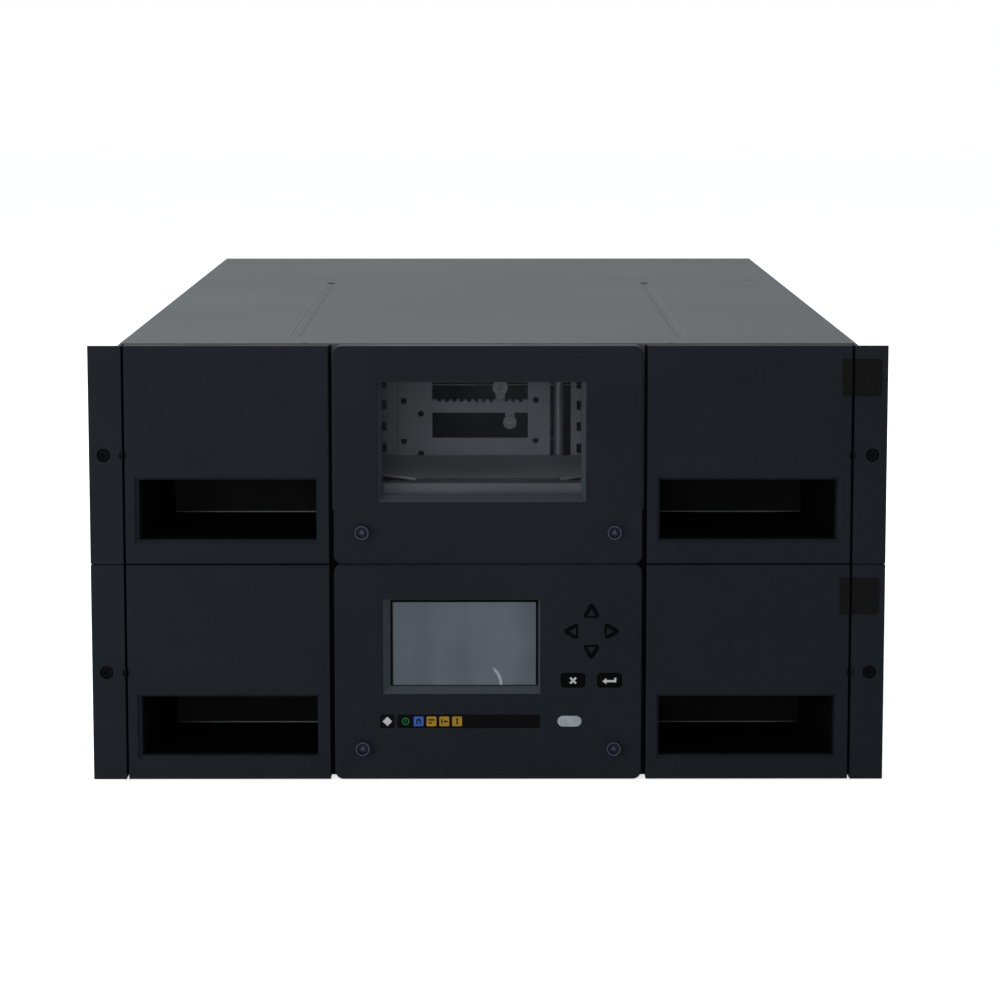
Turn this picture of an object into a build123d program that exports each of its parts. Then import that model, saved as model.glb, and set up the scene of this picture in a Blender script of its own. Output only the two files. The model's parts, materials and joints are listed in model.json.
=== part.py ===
from build123d import *
import math
import os

os.makedirs("parts", exist_ok=True)

# The object is a rack-mounted data tape library of two stacked modules.
# X runs across the front, -Y is the front, +Z is up, all in millimetres.
# The origin is under the middle of the whole object, on the face it rests on.

# Driving dimensions of the whole object
module_count = 2
overall_depth = 870.0
sheet = 1.2
front_proud = 4.0
rear_proud = 14.0
fit = 0.3
cut_over = 1.0

face_y = -overall_depth / 2 + front_proud
back_y = overall_depth / 2 - rear_proud
levels = [("lower", 0), ("upper", 1)]
sides = [("left", -1), ("right", 1)]

# Tape cartridges and the magazines that hold them
cartridge_width = 102.0
cartridge_length = 105.4
cartridge_height = 21.5
cartridge_notch = 3.0
cell_clear = 1.2
cell_wall = 1.6
shelf = 1.4
tiers = 5
columns = 4
magazine_width = 123.6
magazine_floor = 6.3
magazine_headroom = 3.85
magazine_front_zone = 66.5
magazine_side_gap = 0.9
back_slot_width = 60.0
back_slot_margin = 4.0
frame_cheek = 2.0

column_pitch = cartridge_width + 2 * cell_clear + cell_wall
tier_pitch = cartridge_height + cell_clear + shelf
deck_top = 2 * sheet
magazine_bottom = deck_top + fit
first_tier = magazine_bottom + magazine_floor
magazine_top = first_tier + tiers * tier_pitch
magazine_length = columns * column_pitch + cell_wall

# Front panels
panel_gap = 0.75
panel_depth = 15.0
panel_skin = 2.5
panel_edge = 1.2
ear_seam = 1.5
aisle_gap = 2.8
centre_half_width = 93.5
corner_radius = 5.0

module_height = magazine_top + magazine_headroom
overall_height = module_height * module_count
panel_height = module_height - panel_gap
magazine_inner = centre_half_width + aisle_gap
magazine_outer = magazine_inner + magazine_width
magazine_back_wall = magazine_inner + cell_clear + cartridge_length + cell_clear
inner_half = magazine_outer + magazine_side_gap
chassis_half = inner_half + sheet
chassis_width = 2 * chassis_half
chassis_front = face_y + panel_depth
chassis_depth = back_y - chassis_front

# Rack ears
ear_reach = 19.3
ear_thickness = 3.0
ear_leg = 1.5
ear_leg_depth = 42.0
ear_leg_inset = 16.0
rack_hole_inset = 8.75
rack_hole_radius = 4.05
release_hole_radius = 2.5

front_half = chassis_half + ear_reach
ear_inner = magazine_outer + ear_seam
rack_hole_x = front_half - rack_hole_inset

# Sheet metal of the chassis
flange_width = 12.0
post_width = 5.0
front_strip = 26.0
top_strip = 2.0
sill_top = 47.65
sill_width = 12.5

# Handle pocket in each magazine front
pocket_width = 108.6
pocket_height = 37.4
pocket_below_top = 81.6
pocket_outer_margin = 7.2
pocket_depth = 58.0
pocket_wall = 2.0
pocket_floor_rise = 10.0
pocket_side_taper = 18.0
pocket_bevel = 1.6

# Window in the upper centre panel
window_level = 1
window_width = 126.8
window_height = 73.9
window_below_top = 21.8
window_centre_x = -3.9
window_splay_side = 3.0
window_splay_bottom = 4.6
window_splay_top = 1.2
window_splay_depth = 7.0
pane_thickness = 2.0
pane_land = 3.0

# Display, keys and lights in the lower centre panel
display_level = 0
display_width = 96.8
display_height = 59.3
display_below_top = 21.5
display_centre_x = -16.5
display_splay_left = 5.4
display_splay_right = 1.5
display_splay_bottom = 5.4
display_splay_top = 1.0
display_splay_depth = 4.0
key_travel = 0.8
key_proud = 0.6
key_clear = 0.45
key_seat = 0.1
key_flange = 1.0
key_flange_depth = 1.0
key_stem_half = 2.0
arrow_radius = 5.9
arrow_corner = 1.2
arrow_margin = 30.6
arrow_below_top = 41.3
arrow_spread_x = 12.9
arrow_spread_z = 13.2
wide_key_width = 14.2
wide_key_height = 8.2
wide_key_corner = 1.8
wide_key_spread = 11.1
wide_key_below_top = 71.6
power_width = 14.6
power_height = 6.7
power_shift = -13.2
power_below_top = 97.0
strip_width = 98.0
strip_height = 8.6
strip_x = -17.1
strip_depth = 1.6
strip_gap = 1.5
strip_corner = 1.2
badge_width = 9.0
light_size = 6.0
light_pitch = 7.85
light_step = 2.2
light_count = 5
board_thickness = 1.6
board_gap = 3.0
switch_height = 2.0

arrow_centre_x = centre_half_width - arrow_margin
power_x = arrow_centre_x + power_shift
strip_left = strip_x - strip_width / 2
badge_x = strip_left + badge_width / 2
plate_left = strip_left + badge_width + strip_gap
plate_width = strip_left + strip_width - plate_left
light_first_x = plate_left + light_step + light_size / 2

# Captive screws that hold the centre panels
captive_inset = 16.9
captive_below_top = 113.5
captive_head_radius = 4.4
captive_rim = 0.8
captive_recess_depth = 1.8
captive_shank_radius = 2.0
captive_reach = 6.0
captive_spread = 2 * (centre_half_width - captive_inset)

# Covers
bead_spacing = 240.0
bead_width = 6.0
bead_depth = 0.6
bead_start_share = 0.055
bead_end_share = 0.64
bead_hole_radius = 2.2
cover_lip = 10.0
lip_notch_depth = 2.4
lip_notch_width = 3.2
lip_notch_spacing = 222.0
dash_length = 12.0
dash_width = 1.6
dash_x_shares = [-0.914, -0.585, -0.585, 0.441, 0.441, 0.9]
dash_y_shares = [0.66, 0.715, 0.96, 0.72, 0.96, 0.67]

# Robot in the aisle between the magazines
rail_width = 6.0
rail_height = 6.0
rail_edge = 2.0
carriage_plate = 2.0
carriage_lift = 2.0
carriage_length = 140.0
shoe_length = 16.0
shoe_wall = 2.5
shoe_cap = 2.5
turntable_gap = 6.3
turntable_thickness = 1.8
hub_radius = 14.0
column_front = 46.0
column_depth = 14.0
left_column_x = -47.7
left_column_width = 22.2
left_column_step = 11.0
left_column_setback = 3.0
right_column_x = 33.3
right_column_width = 14.4
column_wall = 1.6
column_headroom = 14.7
column_hole_radius = 2.1
column_hole_pitch = 26.4
column_hole_count = 3
outer_row_x = -55.2
outer_row_below_top = 51.1
inner_row_x = -44.0
inner_row_below_top = 33.3
right_row_x = 31.2
right_row_below_top = 24.0
comb_thickness = 3.0
comb_tooth_length = 5.0
comb_tooth_height = 8.0
comb_pitch = 14.1
comb_tooth_count = 17
right_comb_x = 54.1
right_comb_width = 3.8
left_comb_width = 7.4
column_tie = 2.0
tie_height = 8.6
tie_bottom = 207.6
tie_thickness = 5.0
tie_tooth = 1.6
tie_tooth_count = 12
low_tie_top = 191.1
low_tie_height = 13.0
low_tie_flange = 8.0
rod_radius = 3.1
rod_x = 46.2
strap_width = 6.0
strap_thickness = 2.0
pulley_width = 4.0
pulley_pin_radius = 1.6
upper_pulley_radius = 5.0
upper_pulley_x = 8.0
upper_pulley_z = 224.2
lower_pulley_radius = 4.3
lower_pulley_x = 14.3
lower_pulley_z = 201.2
picker_floor = 1.2
picker_room = 23.0
picker_deck_thickness = 1.6
picker_front = 74.0
picker_back = 44.0
picker_half_width = 73.0
picker_chamfer_x = 29.0
picker_chamfer_y = 30.0
picker_cheek = 2.5
picker_deck_top = 180.3
bushing_width = 10.6
bushing_height = 14.0
left_pad_width = 8.0
hook_thickness = 2.0
hook_reach = 60.0
hook_length = 84.0
hook_height = 8.0
hook_guide_length = 40.0
roller_radius = 6.0
roller_height = 16.0
roller_y = 40.0
roller_pin_radius = 1.5

# Drives, power supplies and control cards at the back
drive_width = 146.0
drive_length = 205.0
drive_inset = 8.0
drive_headroom = 4.65
drive_gap = 1.6
drive_count = 3
drive_door_width = 104.0
drive_door_height = 23.0
drive_door_depth = 1.5
sled_sheet = 1.0
face_sheet = 1.6
face_overlap = 3.0
supply_width = 112.0
supply_height = 60.0
supply_length = 225.0
supply_side_gap = 6.8
fan_radius = 22.0
fan_depth = 20.0
fan_offset = 28.0
fan_hub_radius = 9.0
fan_blade_count = 7
fan_blade_thickness = 1.6
fan_blade_depth = 10.0
fan_root_angle = 25
fan_tip_angle = 50
fan_tip_gap = 0.8
fan_bearing_radius = 3.0
grille_ring_count = 3
grille_wire = 1.4
grille_bar_count = 2
grille_edge = 2.0
card_height = 34.0
card_length = 160.0
port_width = 12.0
port_height = 9.0
port_depth = 13.0
port_wall = 3.0
inlet_offset = 28.0
inlet_width = 26.0
inlet_height = 19.0
inlet_depth = 15.0
inlet_wall = 2.5
rear_screw_radius = 4.5
rear_screw_edge = 6.0
rear_screw_flat_count = 12

drive_pitch = (module_height - drive_headroom) / drive_count
drive_height = drive_pitch - drive_gap
supply_centre_x = inner_half - supply_side_gap - supply_width / 2


def facing_front(y):
    """A sketch plane across the object at depth y: its local axes are X and Z, its normal is -Y."""
    return Plane.XZ.offset(-y)


def from_top(level, below):
    """The height of a place that lies so far below the top of a module's front."""
    return module_height * (level + 1) - below


def middle_of(level):
    """The height of the middle of a module's front."""
    return from_top(level, module_height / 2)


def floor_of(level):
    """The height at which the sheet metal of a module starts."""
    return sheet if level == 0 else level * module_height


# Bottom and top covers
chassis_middle = (chassis_front + back_y) / 2
with BuildPart() as bottom_cover:
    with BuildSketch(Plane.XY):
        with Locations((0, chassis_middle)):
            Rectangle(chassis_width, chassis_depth)
    extrude(amount=sheet)
bottom_cover.part.label = "bottom_cover"
export_step(bottom_cover.part, "parts/bottom_cover.step")

bead_length = chassis_depth * (bead_end_share - bead_start_share)
bead_middle = chassis_front + chassis_depth * (bead_start_share + bead_end_share) / 2
with BuildPart() as top_cover:
    with BuildSketch(Plane.XY.offset(overall_height - sheet)):
        with Locations((0, chassis_middle)):
            Rectangle(chassis_width + 2 * sheet, chassis_depth)
    extrude(amount=sheet)
    with BuildSketch(Plane.XY.offset(overall_height - sheet)):
        for _, side in sides:
            with Locations((side * (chassis_half + sheet / 2), chassis_middle)):
                Rectangle(sheet, chassis_depth)
    extrude(amount=-cover_lip)
    with BuildSketch(Plane.XY.offset(overall_height)):
        for _, side in sides:
            with Locations((side * bead_spacing / 2, bead_middle)):
                SlotOverall(bead_length, bead_width, rotation=90)
    extrude(amount=-bead_depth, mode=Mode.SUBTRACT)
    with BuildSketch(Plane.XY.offset(overall_height + cut_over)):
        for _, side in sides:
            with Locations((side * bead_spacing / 2, bead_middle + bead_length / 2 - bead_width / 2)):
                Circle(bead_hole_radius)
        for x_share, y_share in zip(dash_x_shares, dash_y_shares):
            with Locations((x_share * chassis_half, chassis_front + y_share * chassis_depth)):
                Rectangle(dash_length, dash_width)
        for _, side in sides:
            with Locations((side * lip_notch_spacing / 2, chassis_front)):
                Rectangle(lip_notch_width, 2 * lip_notch_depth)
    extrude(amount=-sheet - 2 * cut_over, mode=Mode.SUBTRACT)
top_cover.part.label = "top_cover"
export_step(top_cover.part, "parts/top_cover.step")

# Chassis of each module: an open sheet metal ring with a flange round its bottom
bay_outer = inner_half
bay_inner = magazine_inner - fit
drive_bay_width = drive_width + 2 * face_overlap
drive_bay_height = drive_count * drive_pitch
for level_name, level in levels:
    floor = floor_of(level)
    roof = from_top(level, sheet if level == module_count - 1 else 0)
    shell_height = roof - floor
    strip_top = sill_top if level == window_level else front_strip
    with BuildPart() as chassis:
        with BuildSketch(Plane.XY.offset(floor)):
            with Locations((0, chassis_middle)):
                Rectangle(chassis_width, chassis_depth)
                Rectangle(chassis_width - 2 * sheet, chassis_depth - 2 * sheet, mode=Mode.SUBTRACT)
        extrude(amount=shell_height)
        with BuildSketch(Plane.XY.offset(floor)):
            with Locations((0, chassis_middle)):
                Rectangle(chassis_width, chassis_depth)
                Rectangle(chassis_width - 2 * flange_width, chassis_depth - 2 * sheet, mode=Mode.SUBTRACT)
        extrude(amount=sheet)
        with BuildSketch(facing_front(chassis_front - cut_over)):
            for _, side in sides:
                bay_low = floor + deck_top
                with Locations((side * (bay_inner + bay_outer) / 2, (bay_low + roof - top_strip) / 2)):
                    Rectangle(bay_outer - bay_inner, roof - top_strip - bay_low)
            with Locations((0, (floor + strip_top + roof - top_strip) / 2)):
                Rectangle(2 * (bay_inner - post_width), roof - top_strip - floor - strip_top)
            with Locations((0, from_top(level, captive_below_top))):
                with GridLocations(captive_spread, 0, 2, 1):
                    Circle(captive_shank_radius + fit)
        extrude(amount=-sheet - 2 * cut_over, mode=Mode.SUBTRACT)
        if level == window_level:
            with BuildSketch(Plane.XY.offset(floor + sill_top - sheet)):
                with Locations((0, chassis_front + sheet + fit + sill_width / 2)):
                    Rectangle(2 * (bay_inner - post_width), sill_width)
            extrude(amount=sheet)
        with BuildSketch(facing_front(back_y - sheet - cut_over)):
            with Locations((0, floor + deck_top + drive_bay_height / 2)):
                Rectangle(drive_bay_width, drive_bay_height)
            for _, side in sides:
                bay_height = supply_height if side < 0 else card_height
                with Locations((side * supply_centre_x, floor + deck_top + bay_height / 2)):
                    Rectangle(supply_width + 2 * fit, bay_height)
        extrude(amount=-sheet - 2 * cut_over, mode=Mode.SUBTRACT)
    chassis.part.label = f"{level_name}_chassis"
    export_step(chassis.part, f"parts/{level_name}_chassis.step")

# Decks that the magazines slide on, one on each side of the aisle in each module
deck_length = magazine_front_zone + magazine_length - panel_depth
deck_middle = (magazine_inner + inner_half) / 2
with BuildPart() as magazine_decks:
    for _, level in levels:
        for _, side in sides:
            with BuildSketch(facing_front(chassis_front + sheet)):
                with Locations((side * deck_middle, floor_of(level) + deck_top - sheet / 2)):
                    Rectangle(inner_half - magazine_inner, sheet)
            extrude(amount=-deck_length)
magazine_decks.part.label = "magazine_decks"
export_step(magazine_decks.part, "parts/magazine_decks.step")

# Rack ears, one at each end of each module's front, with a leg that stops short of the cover's lip
ear_width = front_half - ear_inner
leg_sizes = [(panel_height, panel_depth - ear_thickness - fit),
             (panel_height - 2 * ear_leg_inset, ear_leg_depth)]
for side_name, side in sides:
    with BuildPart() as ears:
        for _, level in levels:
            middle = middle_of(level)
            with BuildSketch(facing_front(face_y)):
                with Locations((side * (ear_inner + ear_width / 2), middle)):
                    Rectangle(ear_width, panel_height)
                with Locations((side * rack_hole_x, middle)):
                    Circle(rack_hole_radius, mode=Mode.SUBTRACT)
                with Locations((side * (magazine_outer + ear_seam / 2), middle)):
                    Circle(release_hole_radius, mode=Mode.SUBTRACT)
            extrude(amount=-ear_thickness)
            for leg_height, leg_depth in leg_sizes:
                with BuildSketch(facing_front(face_y + ear_thickness)):
                    with Locations((side * (chassis_half + ear_leg / 2), middle)):
                        Rectangle(ear_leg, leg_height)
                extrude(amount=-leg_depth)
    ears.part.label = f"{side_name}_rack_ears"
    export_step(ears.part, f"parts/{side_name}_rack_ears.step")

# Magazine fronts: moulded shells, each with a tapered handle pocket
front_shell_depth = panel_depth - fit
magazine_middle = (magazine_outer + magazine_inner) / 2
pocket_outer = magazine_outer - pocket_outer_margin
pocket_middle = pocket_outer - pocket_width / 2
for side_name, side in sides:
    for level_name, level in levels:
        middle = middle_of(level)
        pocket_z = from_top(level, pocket_below_top + pocket_height / 2)
        rear_x = side * (pocket_middle - pocket_side_taper / 2)
        rear_z = pocket_z + pocket_floor_rise / 2
        rear_width = pocket_width - pocket_side_taper
        rear_height = pocket_height - pocket_floor_rise
        with BuildPart() as magazine_front:
            with BuildSketch(facing_front(face_y)):
                with Locations((side * magazine_middle, middle)):
                    Rectangle(magazine_width, panel_height)
            extrude(amount=-front_shell_depth)
            front_face = magazine_front.faces().sort_by(Axis.Y)[0]
            chamfer(front_face.edges(), panel_edge / 2)
            with BuildSketch(facing_front(face_y + panel_skin)):
                with Locations((side * magazine_middle, middle)):
                    Rectangle(magazine_width - 2 * panel_skin, panel_height - 2 * panel_skin)
            extrude(amount=-panel_depth, mode=Mode.SUBTRACT)
            with BuildSketch(facing_front(face_y + panel_skin)):
                with Locations((side * pocket_middle, pocket_z)):
                    Rectangle(pocket_width + 2 * pocket_wall, pocket_height + 2 * pocket_wall)
            with BuildSketch(facing_front(face_y + pocket_depth + pocket_wall)):
                with Locations((rear_x, rear_z)):
                    Rectangle(rear_width + 2 * pocket_wall, rear_height + 2 * pocket_wall)
            loft()
            with BuildSketch(facing_front(face_y - cut_over)):
                with Locations((side * pocket_middle, pocket_z)):
                    Rectangle(pocket_width, pocket_height)
            with BuildSketch(facing_front(face_y + pocket_depth)):
                with Locations((rear_x, rear_z)):
                    Rectangle(rear_width, rear_height)
            loft(mode=Mode.SUBTRACT)
            with BuildSketch(facing_front(face_y)):
                with Locations((side * pocket_middle, pocket_z)):
                    Rectangle(pocket_width + 2 * pocket_bevel, pocket_height + 2 * pocket_bevel)
            extrude(amount=-pocket_bevel, taper=45, mode=Mode.SUBTRACT)
            with BuildSketch(facing_front(face_y)):
                with Locations((side * (magazine_outer + ear_seam / 2), middle)):
                    Circle(release_hole_radius)
            extrude(amount=-ear_thickness, mode=Mode.SUBTRACT)
        label = f"{level_name}_{side_name}_magazine_front"
        magazine_front.part.label = label
        export_step(magazine_front.part, f"parts/{label}.step")

# Magazine frames: shelves and dividers that make a cell for each cartridge, open to the aisle
cells_start = face_y + magazine_front_zone
cell_width = column_pitch - cell_wall
back_slot_height = tiers * tier_pitch - shelf - 2 * back_slot_margin
frame_outer = magazine_back_wall + cell_wall
for side_name, side in sides:
    for level_name, level in levels:
        floor = floor_of(level)
        low = floor + magazine_bottom
        high = floor + magazine_top
        cells_middle_y = cells_start + cell_wall / 2 + columns * column_pitch / 2
        cells_middle_z = floor + first_tier + (tiers * tier_pitch - shelf) / 2
        with BuildPart() as magazine_frame:
            with BuildSketch(Plane.YZ.offset(side * magazine_inner)):
                with Locations((cells_start + magazine_length / 2, (low + high) / 2)):
                    Rectangle(magazine_length, high - low)
            extrude(amount=side * (frame_outer - magazine_inner))
            with BuildSketch(Plane.YZ.offset(side * (magazine_inner - cut_over))):
                with Locations((cells_middle_y, cells_middle_z)):
                    with GridLocations(column_pitch, tier_pitch, columns, tiers):
                        Rectangle(cell_width, tier_pitch - shelf)
            extrude(amount=side * (magazine_back_wall - magazine_inner + cut_over), mode=Mode.SUBTRACT)
            with BuildSketch(Plane.YZ.offset(side * (magazine_back_wall - cut_over))):
                with Locations((cells_middle_y, cells_middle_z)):
                    with GridLocations(column_pitch, 0, columns, 1):
                        Rectangle(back_slot_width, back_slot_height)
            extrude(amount=side * (cell_wall + 2 * cut_over), mode=Mode.SUBTRACT)
            with BuildSketch(facing_front(cells_start)):
                for cheek_x in (magazine_inner + frame_cheek / 2, magazine_outer - frame_cheek / 2):
                    with Locations((side * cheek_x, (low + high) / 2)):
                        Rectangle(frame_cheek, high - low)
            extrude(amount=magazine_front_zone - front_shell_depth)
            with BuildSketch(facing_front(cells_start)):
                with Locations((side * (magazine_outer + magazine_inner) / 2, (low + high) / 2)):
                    Rectangle(magazine_width, high - low)
            extrude(amount=frame_cheek)
        label = f"{level_name}_{side_name}_magazine_frame"
        magazine_frame.part.label = label
        export_step(magazine_frame.part, f"parts/{label}.step")

        # Cartridges: one in each cell, with a cut corner and a grip notch
        with BuildPart() as cartridges:
            with BuildSketch(Plane.YZ.offset(side * (magazine_inner + cell_clear))):
                with Locations((cells_middle_y, cells_middle_z - cell_clear / 2)):
                    with GridLocations(column_pitch, tier_pitch, columns, tiers):
                        Rectangle(cartridge_width, cartridge_height)
            extrude(amount=side * cartridge_length)
            aisle_edges = cartridges.edges().filter_by(Axis.Z).group_by(Axis.X)[0 if side > 0 else -1]
            chamfer(aisle_edges, cartridge_notch)
        label = f"{level_name}_{side_name}_cartridges"
        cartridges.part.label = label
        export_step(cartridges.part, f"parts/{label}.step")

# Centre panels: a moulded skin with a rim behind it, closed between the two magazines
blanks = []
for _, level in levels:
    middle = middle_of(level)
    with BuildPart() as blank:
        with BuildSketch(facing_front(face_y)) as outline:
            with Locations((0, middle)):
                Rectangle(2 * centre_half_width, panel_height)
            fillet(outline.vertices().group_by(Axis.Z)[-1], corner_radius)
        extrude(amount=-panel_depth)
        chamfer(blank.faces().sort_by(Axis.Y)[0].edges(), panel_edge / 2)
        with BuildSketch(facing_front(face_y + panel_skin)):
            with Locations((0, middle)):
                Rectangle(2 * (centre_half_width - panel_skin), panel_height - 2 * panel_skin)
        extrude(amount=-panel_depth, mode=Mode.SUBTRACT)
        with BuildSketch(facing_front(face_y + panel_skin)):
            with Locations((0, from_top(level, captive_below_top))):
                with GridLocations(captive_spread, 0, 2, 1):
                    Circle(captive_head_radius)
        extrude(amount=panel_skin - panel_depth)
        with BuildSketch(facing_front(face_y - cut_over)):
            with Locations((0, from_top(level, captive_below_top))):
                with GridLocations(captive_spread, 0, 2, 1):
                    Circle(captive_shank_radius + fit)
        extrude(amount=-panel_depth - 2 * cut_over, mode=Mode.SUBTRACT)
    blanks.append(blank.part)

# Upper centre panel: a window whose frame splays inwards to the pane
window_z = from_top(window_level, window_below_top + window_height / 2)
pane_width = window_width - 2 * window_splay_side
pane_height = window_height - window_splay_top - window_splay_bottom
pane_z = window_z + (window_splay_bottom - window_splay_top) / 2
pane_y = face_y + window_splay_depth
with BuildPart() as window_bezel:
    add(blanks[window_level])
    with BuildSketch(facing_front(face_y + panel_skin)):
        with Locations((window_centre_x, window_z)):
            Rectangle(window_width + 2 * pane_land, window_height + 2 * pane_land)
    extrude(amount=panel_skin - window_splay_depth)
    with BuildSketch(facing_front(face_y)):
        with Locations((window_centre_x, window_z)):
            Rectangle(window_width, window_height)
    with BuildSketch(facing_front(pane_y)):
        with Locations((window_centre_x, pane_z)):
            Rectangle(pane_width, pane_height)
    loft(mode=Mode.SUBTRACT)
window_bezel.part.label = "window_bezel"
export_step(window_bezel.part, "parts/window_bezel.step")

with BuildPart() as window_pane:
    with BuildSketch(facing_front(pane_y)):
        with Locations((window_centre_x, pane_z)):
            Rectangle(pane_width + 2 * pane_land, pane_height + 2 * pane_land)
    extrude(amount=-pane_thickness)
window_pane.part.label = "window_pane"
export_step(window_pane.part, "parts/window_pane.step")

# Keys of the lower centre panel: each has a cap, a flange behind the skin and a stem
board_y = face_y + panel_skin + board_gap + key_travel + switch_height
arrow_shift = arrow_radius / 4
keys = [
    ("up_key", "arrow", arrow_centre_x, arrow_below_top - arrow_spread_z, 90),
    ("down_key", "arrow", arrow_centre_x, arrow_below_top + arrow_spread_z, 270),
    ("left_key", "arrow", arrow_centre_x - arrow_spread_x, arrow_below_top, 180),
    ("right_key", "arrow", arrow_centre_x + arrow_spread_x, arrow_below_top, 0),
    ("cancel_key", "wide", arrow_centre_x - wide_key_spread, wide_key_below_top, 0),
    ("enter_key", "wide", arrow_centre_x + wide_key_spread, wide_key_below_top, 0),
    ("power_button", "power", power_x, power_below_top, 0),
]


def key_shape(kind, turn, grow):
    """The outline of a key about its own middle, made larger all round by grow."""
    with BuildSketch() as shape:
        if kind == "arrow":
            shift = arrow_shift * Vector(1, 0, 0).rotate(Axis.Z, turn)
            with Locations((-shift.X, -shift.Y)):
                RegularPolygon(arrow_radius, 3, rotation=turn)
            fillet(shape.vertices(), arrow_corner)
        elif kind == "wide":
            RectangleRounded(wide_key_width, wide_key_height, wide_key_corner)
        else:
            SlotOverall(power_width, power_height)
        if grow:
            offset(amount=grow)
    return shape.sketch


stem_end = board_y - switch_height - key_travel - key_seat
for name, kind, x, below, turn in keys:
    z = from_top(display_level, below)
    with BuildPart() as key:
        with BuildSketch(facing_front(face_y - key_proud)):
            with Locations((x, z)):
                add(key_shape(kind, turn, 0))
        extrude(amount=-key_proud - panel_skin - key_seat)
        with BuildSketch(facing_front(face_y + panel_skin + key_seat)):
            with Locations((x, z)):
                add(key_shape(kind, turn, key_flange))
        extrude(amount=-key_flange_depth)
        with BuildSketch(facing_front(face_y + panel_skin + key_seat)):
            with Locations((x, z)):
                Rectangle(2 * key_stem_half, 2 * key_stem_half)
        extrude(amount=face_y + panel_skin + key_seat - stem_end)
        chamfer(key.faces().sort_by(Axis.Y)[0].edges(), key_proud / 2)
    key.part.label = name
    export_step(key.part, f"parts/{name}.step")

# Lower centre panel: a display, a light strip and holes for the keys
display_z = from_top(display_level, display_below_top + display_height / 2)
screen_width = display_width - display_splay_left - display_splay_right
screen_height = display_height - display_splay_top - display_splay_bottom
screen_x = display_centre_x + (display_splay_left - display_splay_right) / 2
screen_z = display_z + (display_splay_bottom - display_splay_top) / 2
screen_y = face_y + display_splay_depth
strip_z = from_top(display_level, power_below_top)
light_xs = [badge_x] + [light_first_x + n * light_pitch for n in range(light_count)]


def strip_outline():
    """The two black plates of the light strip: a small one for the badge and a long one for the lights."""
    with BuildSketch() as plates:
        with Locations((badge_x, strip_z)):
            RectangleRounded(badge_width, strip_height, strip_corner)
        with Locations((plate_left + plate_width / 2, strip_z)):
            RectangleRounded(plate_width, strip_height, strip_corner)
    return plates.sketch


with BuildPart() as control_bezel:
    add(blanks[display_level])
    with BuildSketch(facing_front(face_y + panel_skin)):
        with Locations((display_centre_x, display_z)):
            Rectangle(display_width + 2 * pane_land, display_height + 2 * pane_land)
    extrude(amount=panel_skin - display_splay_depth)
    with BuildSketch(facing_front(face_y)):
        with Locations((display_centre_x, display_z)):
            Rectangle(display_width, display_height)
    with BuildSketch(facing_front(screen_y)):
        with Locations((screen_x, screen_z)):
            Rectangle(screen_width, screen_height)
    loft(mode=Mode.SUBTRACT)
    with BuildSketch(facing_front(face_y - cut_over)):
        for _, kind, x, below, turn in keys:
            with Locations((x, from_top(display_level, below))):
                add(key_shape(kind, turn, key_clear))
        for x in light_xs:
            with Locations((x, strip_z)):
                Rectangle(light_size, light_size)
    extrude(amount=-panel_skin - 2 * cut_over, mode=Mode.SUBTRACT)
    with BuildSketch(facing_front(face_y - cut_over)):
        add(strip_outline())
    extrude(amount=-strip_depth - cut_over, mode=Mode.SUBTRACT)
control_bezel.part.label = "control_bezel"
export_step(control_bezel.part, "parts/control_bezel.step")

with BuildPart() as display:
    with BuildSketch(facing_front(screen_y)):
        with Locations((screen_x, screen_z)):
            Rectangle(screen_width + pane_land, screen_height + pane_land)
    extrude(amount=screen_y - board_y)
display.part.label = "display"
export_step(display.part, "parts/display.step")

with BuildPart() as light_strip:
    with BuildSketch(facing_front(face_y)):
        add(strip_outline())
        for x in light_xs:
            with Locations((x, strip_z)):
                Rectangle(light_size, light_size, mode=Mode.SUBTRACT)
    extrude(amount=-strip_depth)
light_strip.part.label = "light_strip"
export_step(light_strip.part, "parts/light_strip.step")

with BuildPart() as light_guides:
    with BuildSketch(facing_front(face_y)):
        for x in light_xs:
            with Locations((x, strip_z)):
                Rectangle(light_size, light_size)
    extrude(amount=face_y - board_y)
light_guides.part.label = "light_guides"
export_step(light_guides.part, "parts/light_guides.step")

# Circuit board behind the keys, with a switch for each key
board_left = display_centre_x - display_width / 2
board_right = arrow_centre_x + arrow_spread_x + arrow_radius
board_low = from_top(display_level, power_below_top + power_height)
board_high = from_top(display_level, display_below_top)
with BuildPart() as control_board:
    with BuildSketch(facing_front(board_y)):
        with Locations(((board_left + board_right) / 2, (board_low + board_high) / 2)):
            Rectangle(board_right - board_left, board_high - board_low)
    extrude(amount=-board_thickness)
    with BuildSketch(facing_front(board_y)):
        for _, _, x, below, _ in keys:
            with Locations((x, from_top(display_level, below))):
                Rectangle(2 * key_stem_half, 2 * key_stem_half)
    extrude(amount=switch_height)
control_board.part.label = "control_board"
export_step(control_board.part, "parts/control_board.step")

# Captive screws, two in each centre panel
with BuildPart() as captive_screws:
    for _, level in levels:
        with BuildSketch(facing_front(face_y)):
            with Locations((0, from_top(level, captive_below_top))):
                with GridLocations(captive_spread, 0, 2, 1):
                    Circle(captive_head_radius)
        extrude(amount=front_proud)
        with BuildSketch(facing_front(face_y)):
            with Locations((0, from_top(level, captive_below_top))):
                with GridLocations(captive_spread, 0, 2, 1):
                    Circle(captive_shank_radius)
        extrude(amount=-panel_depth - captive_reach)
        with BuildSketch(facing_front(face_y - front_proud)):
            with Locations((0, from_top(level, captive_below_top))):
                with GridLocations(captive_spread, 0, 2, 1):
                    Circle(captive_head_radius - captive_rim)
        extrude(amount=-captive_recess_depth, taper=20, mode=Mode.SUBTRACT)
captive_screws.part.label = "captive_screws"
export_step(captive_screws.part, "parts/captive_screws.step")

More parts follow.
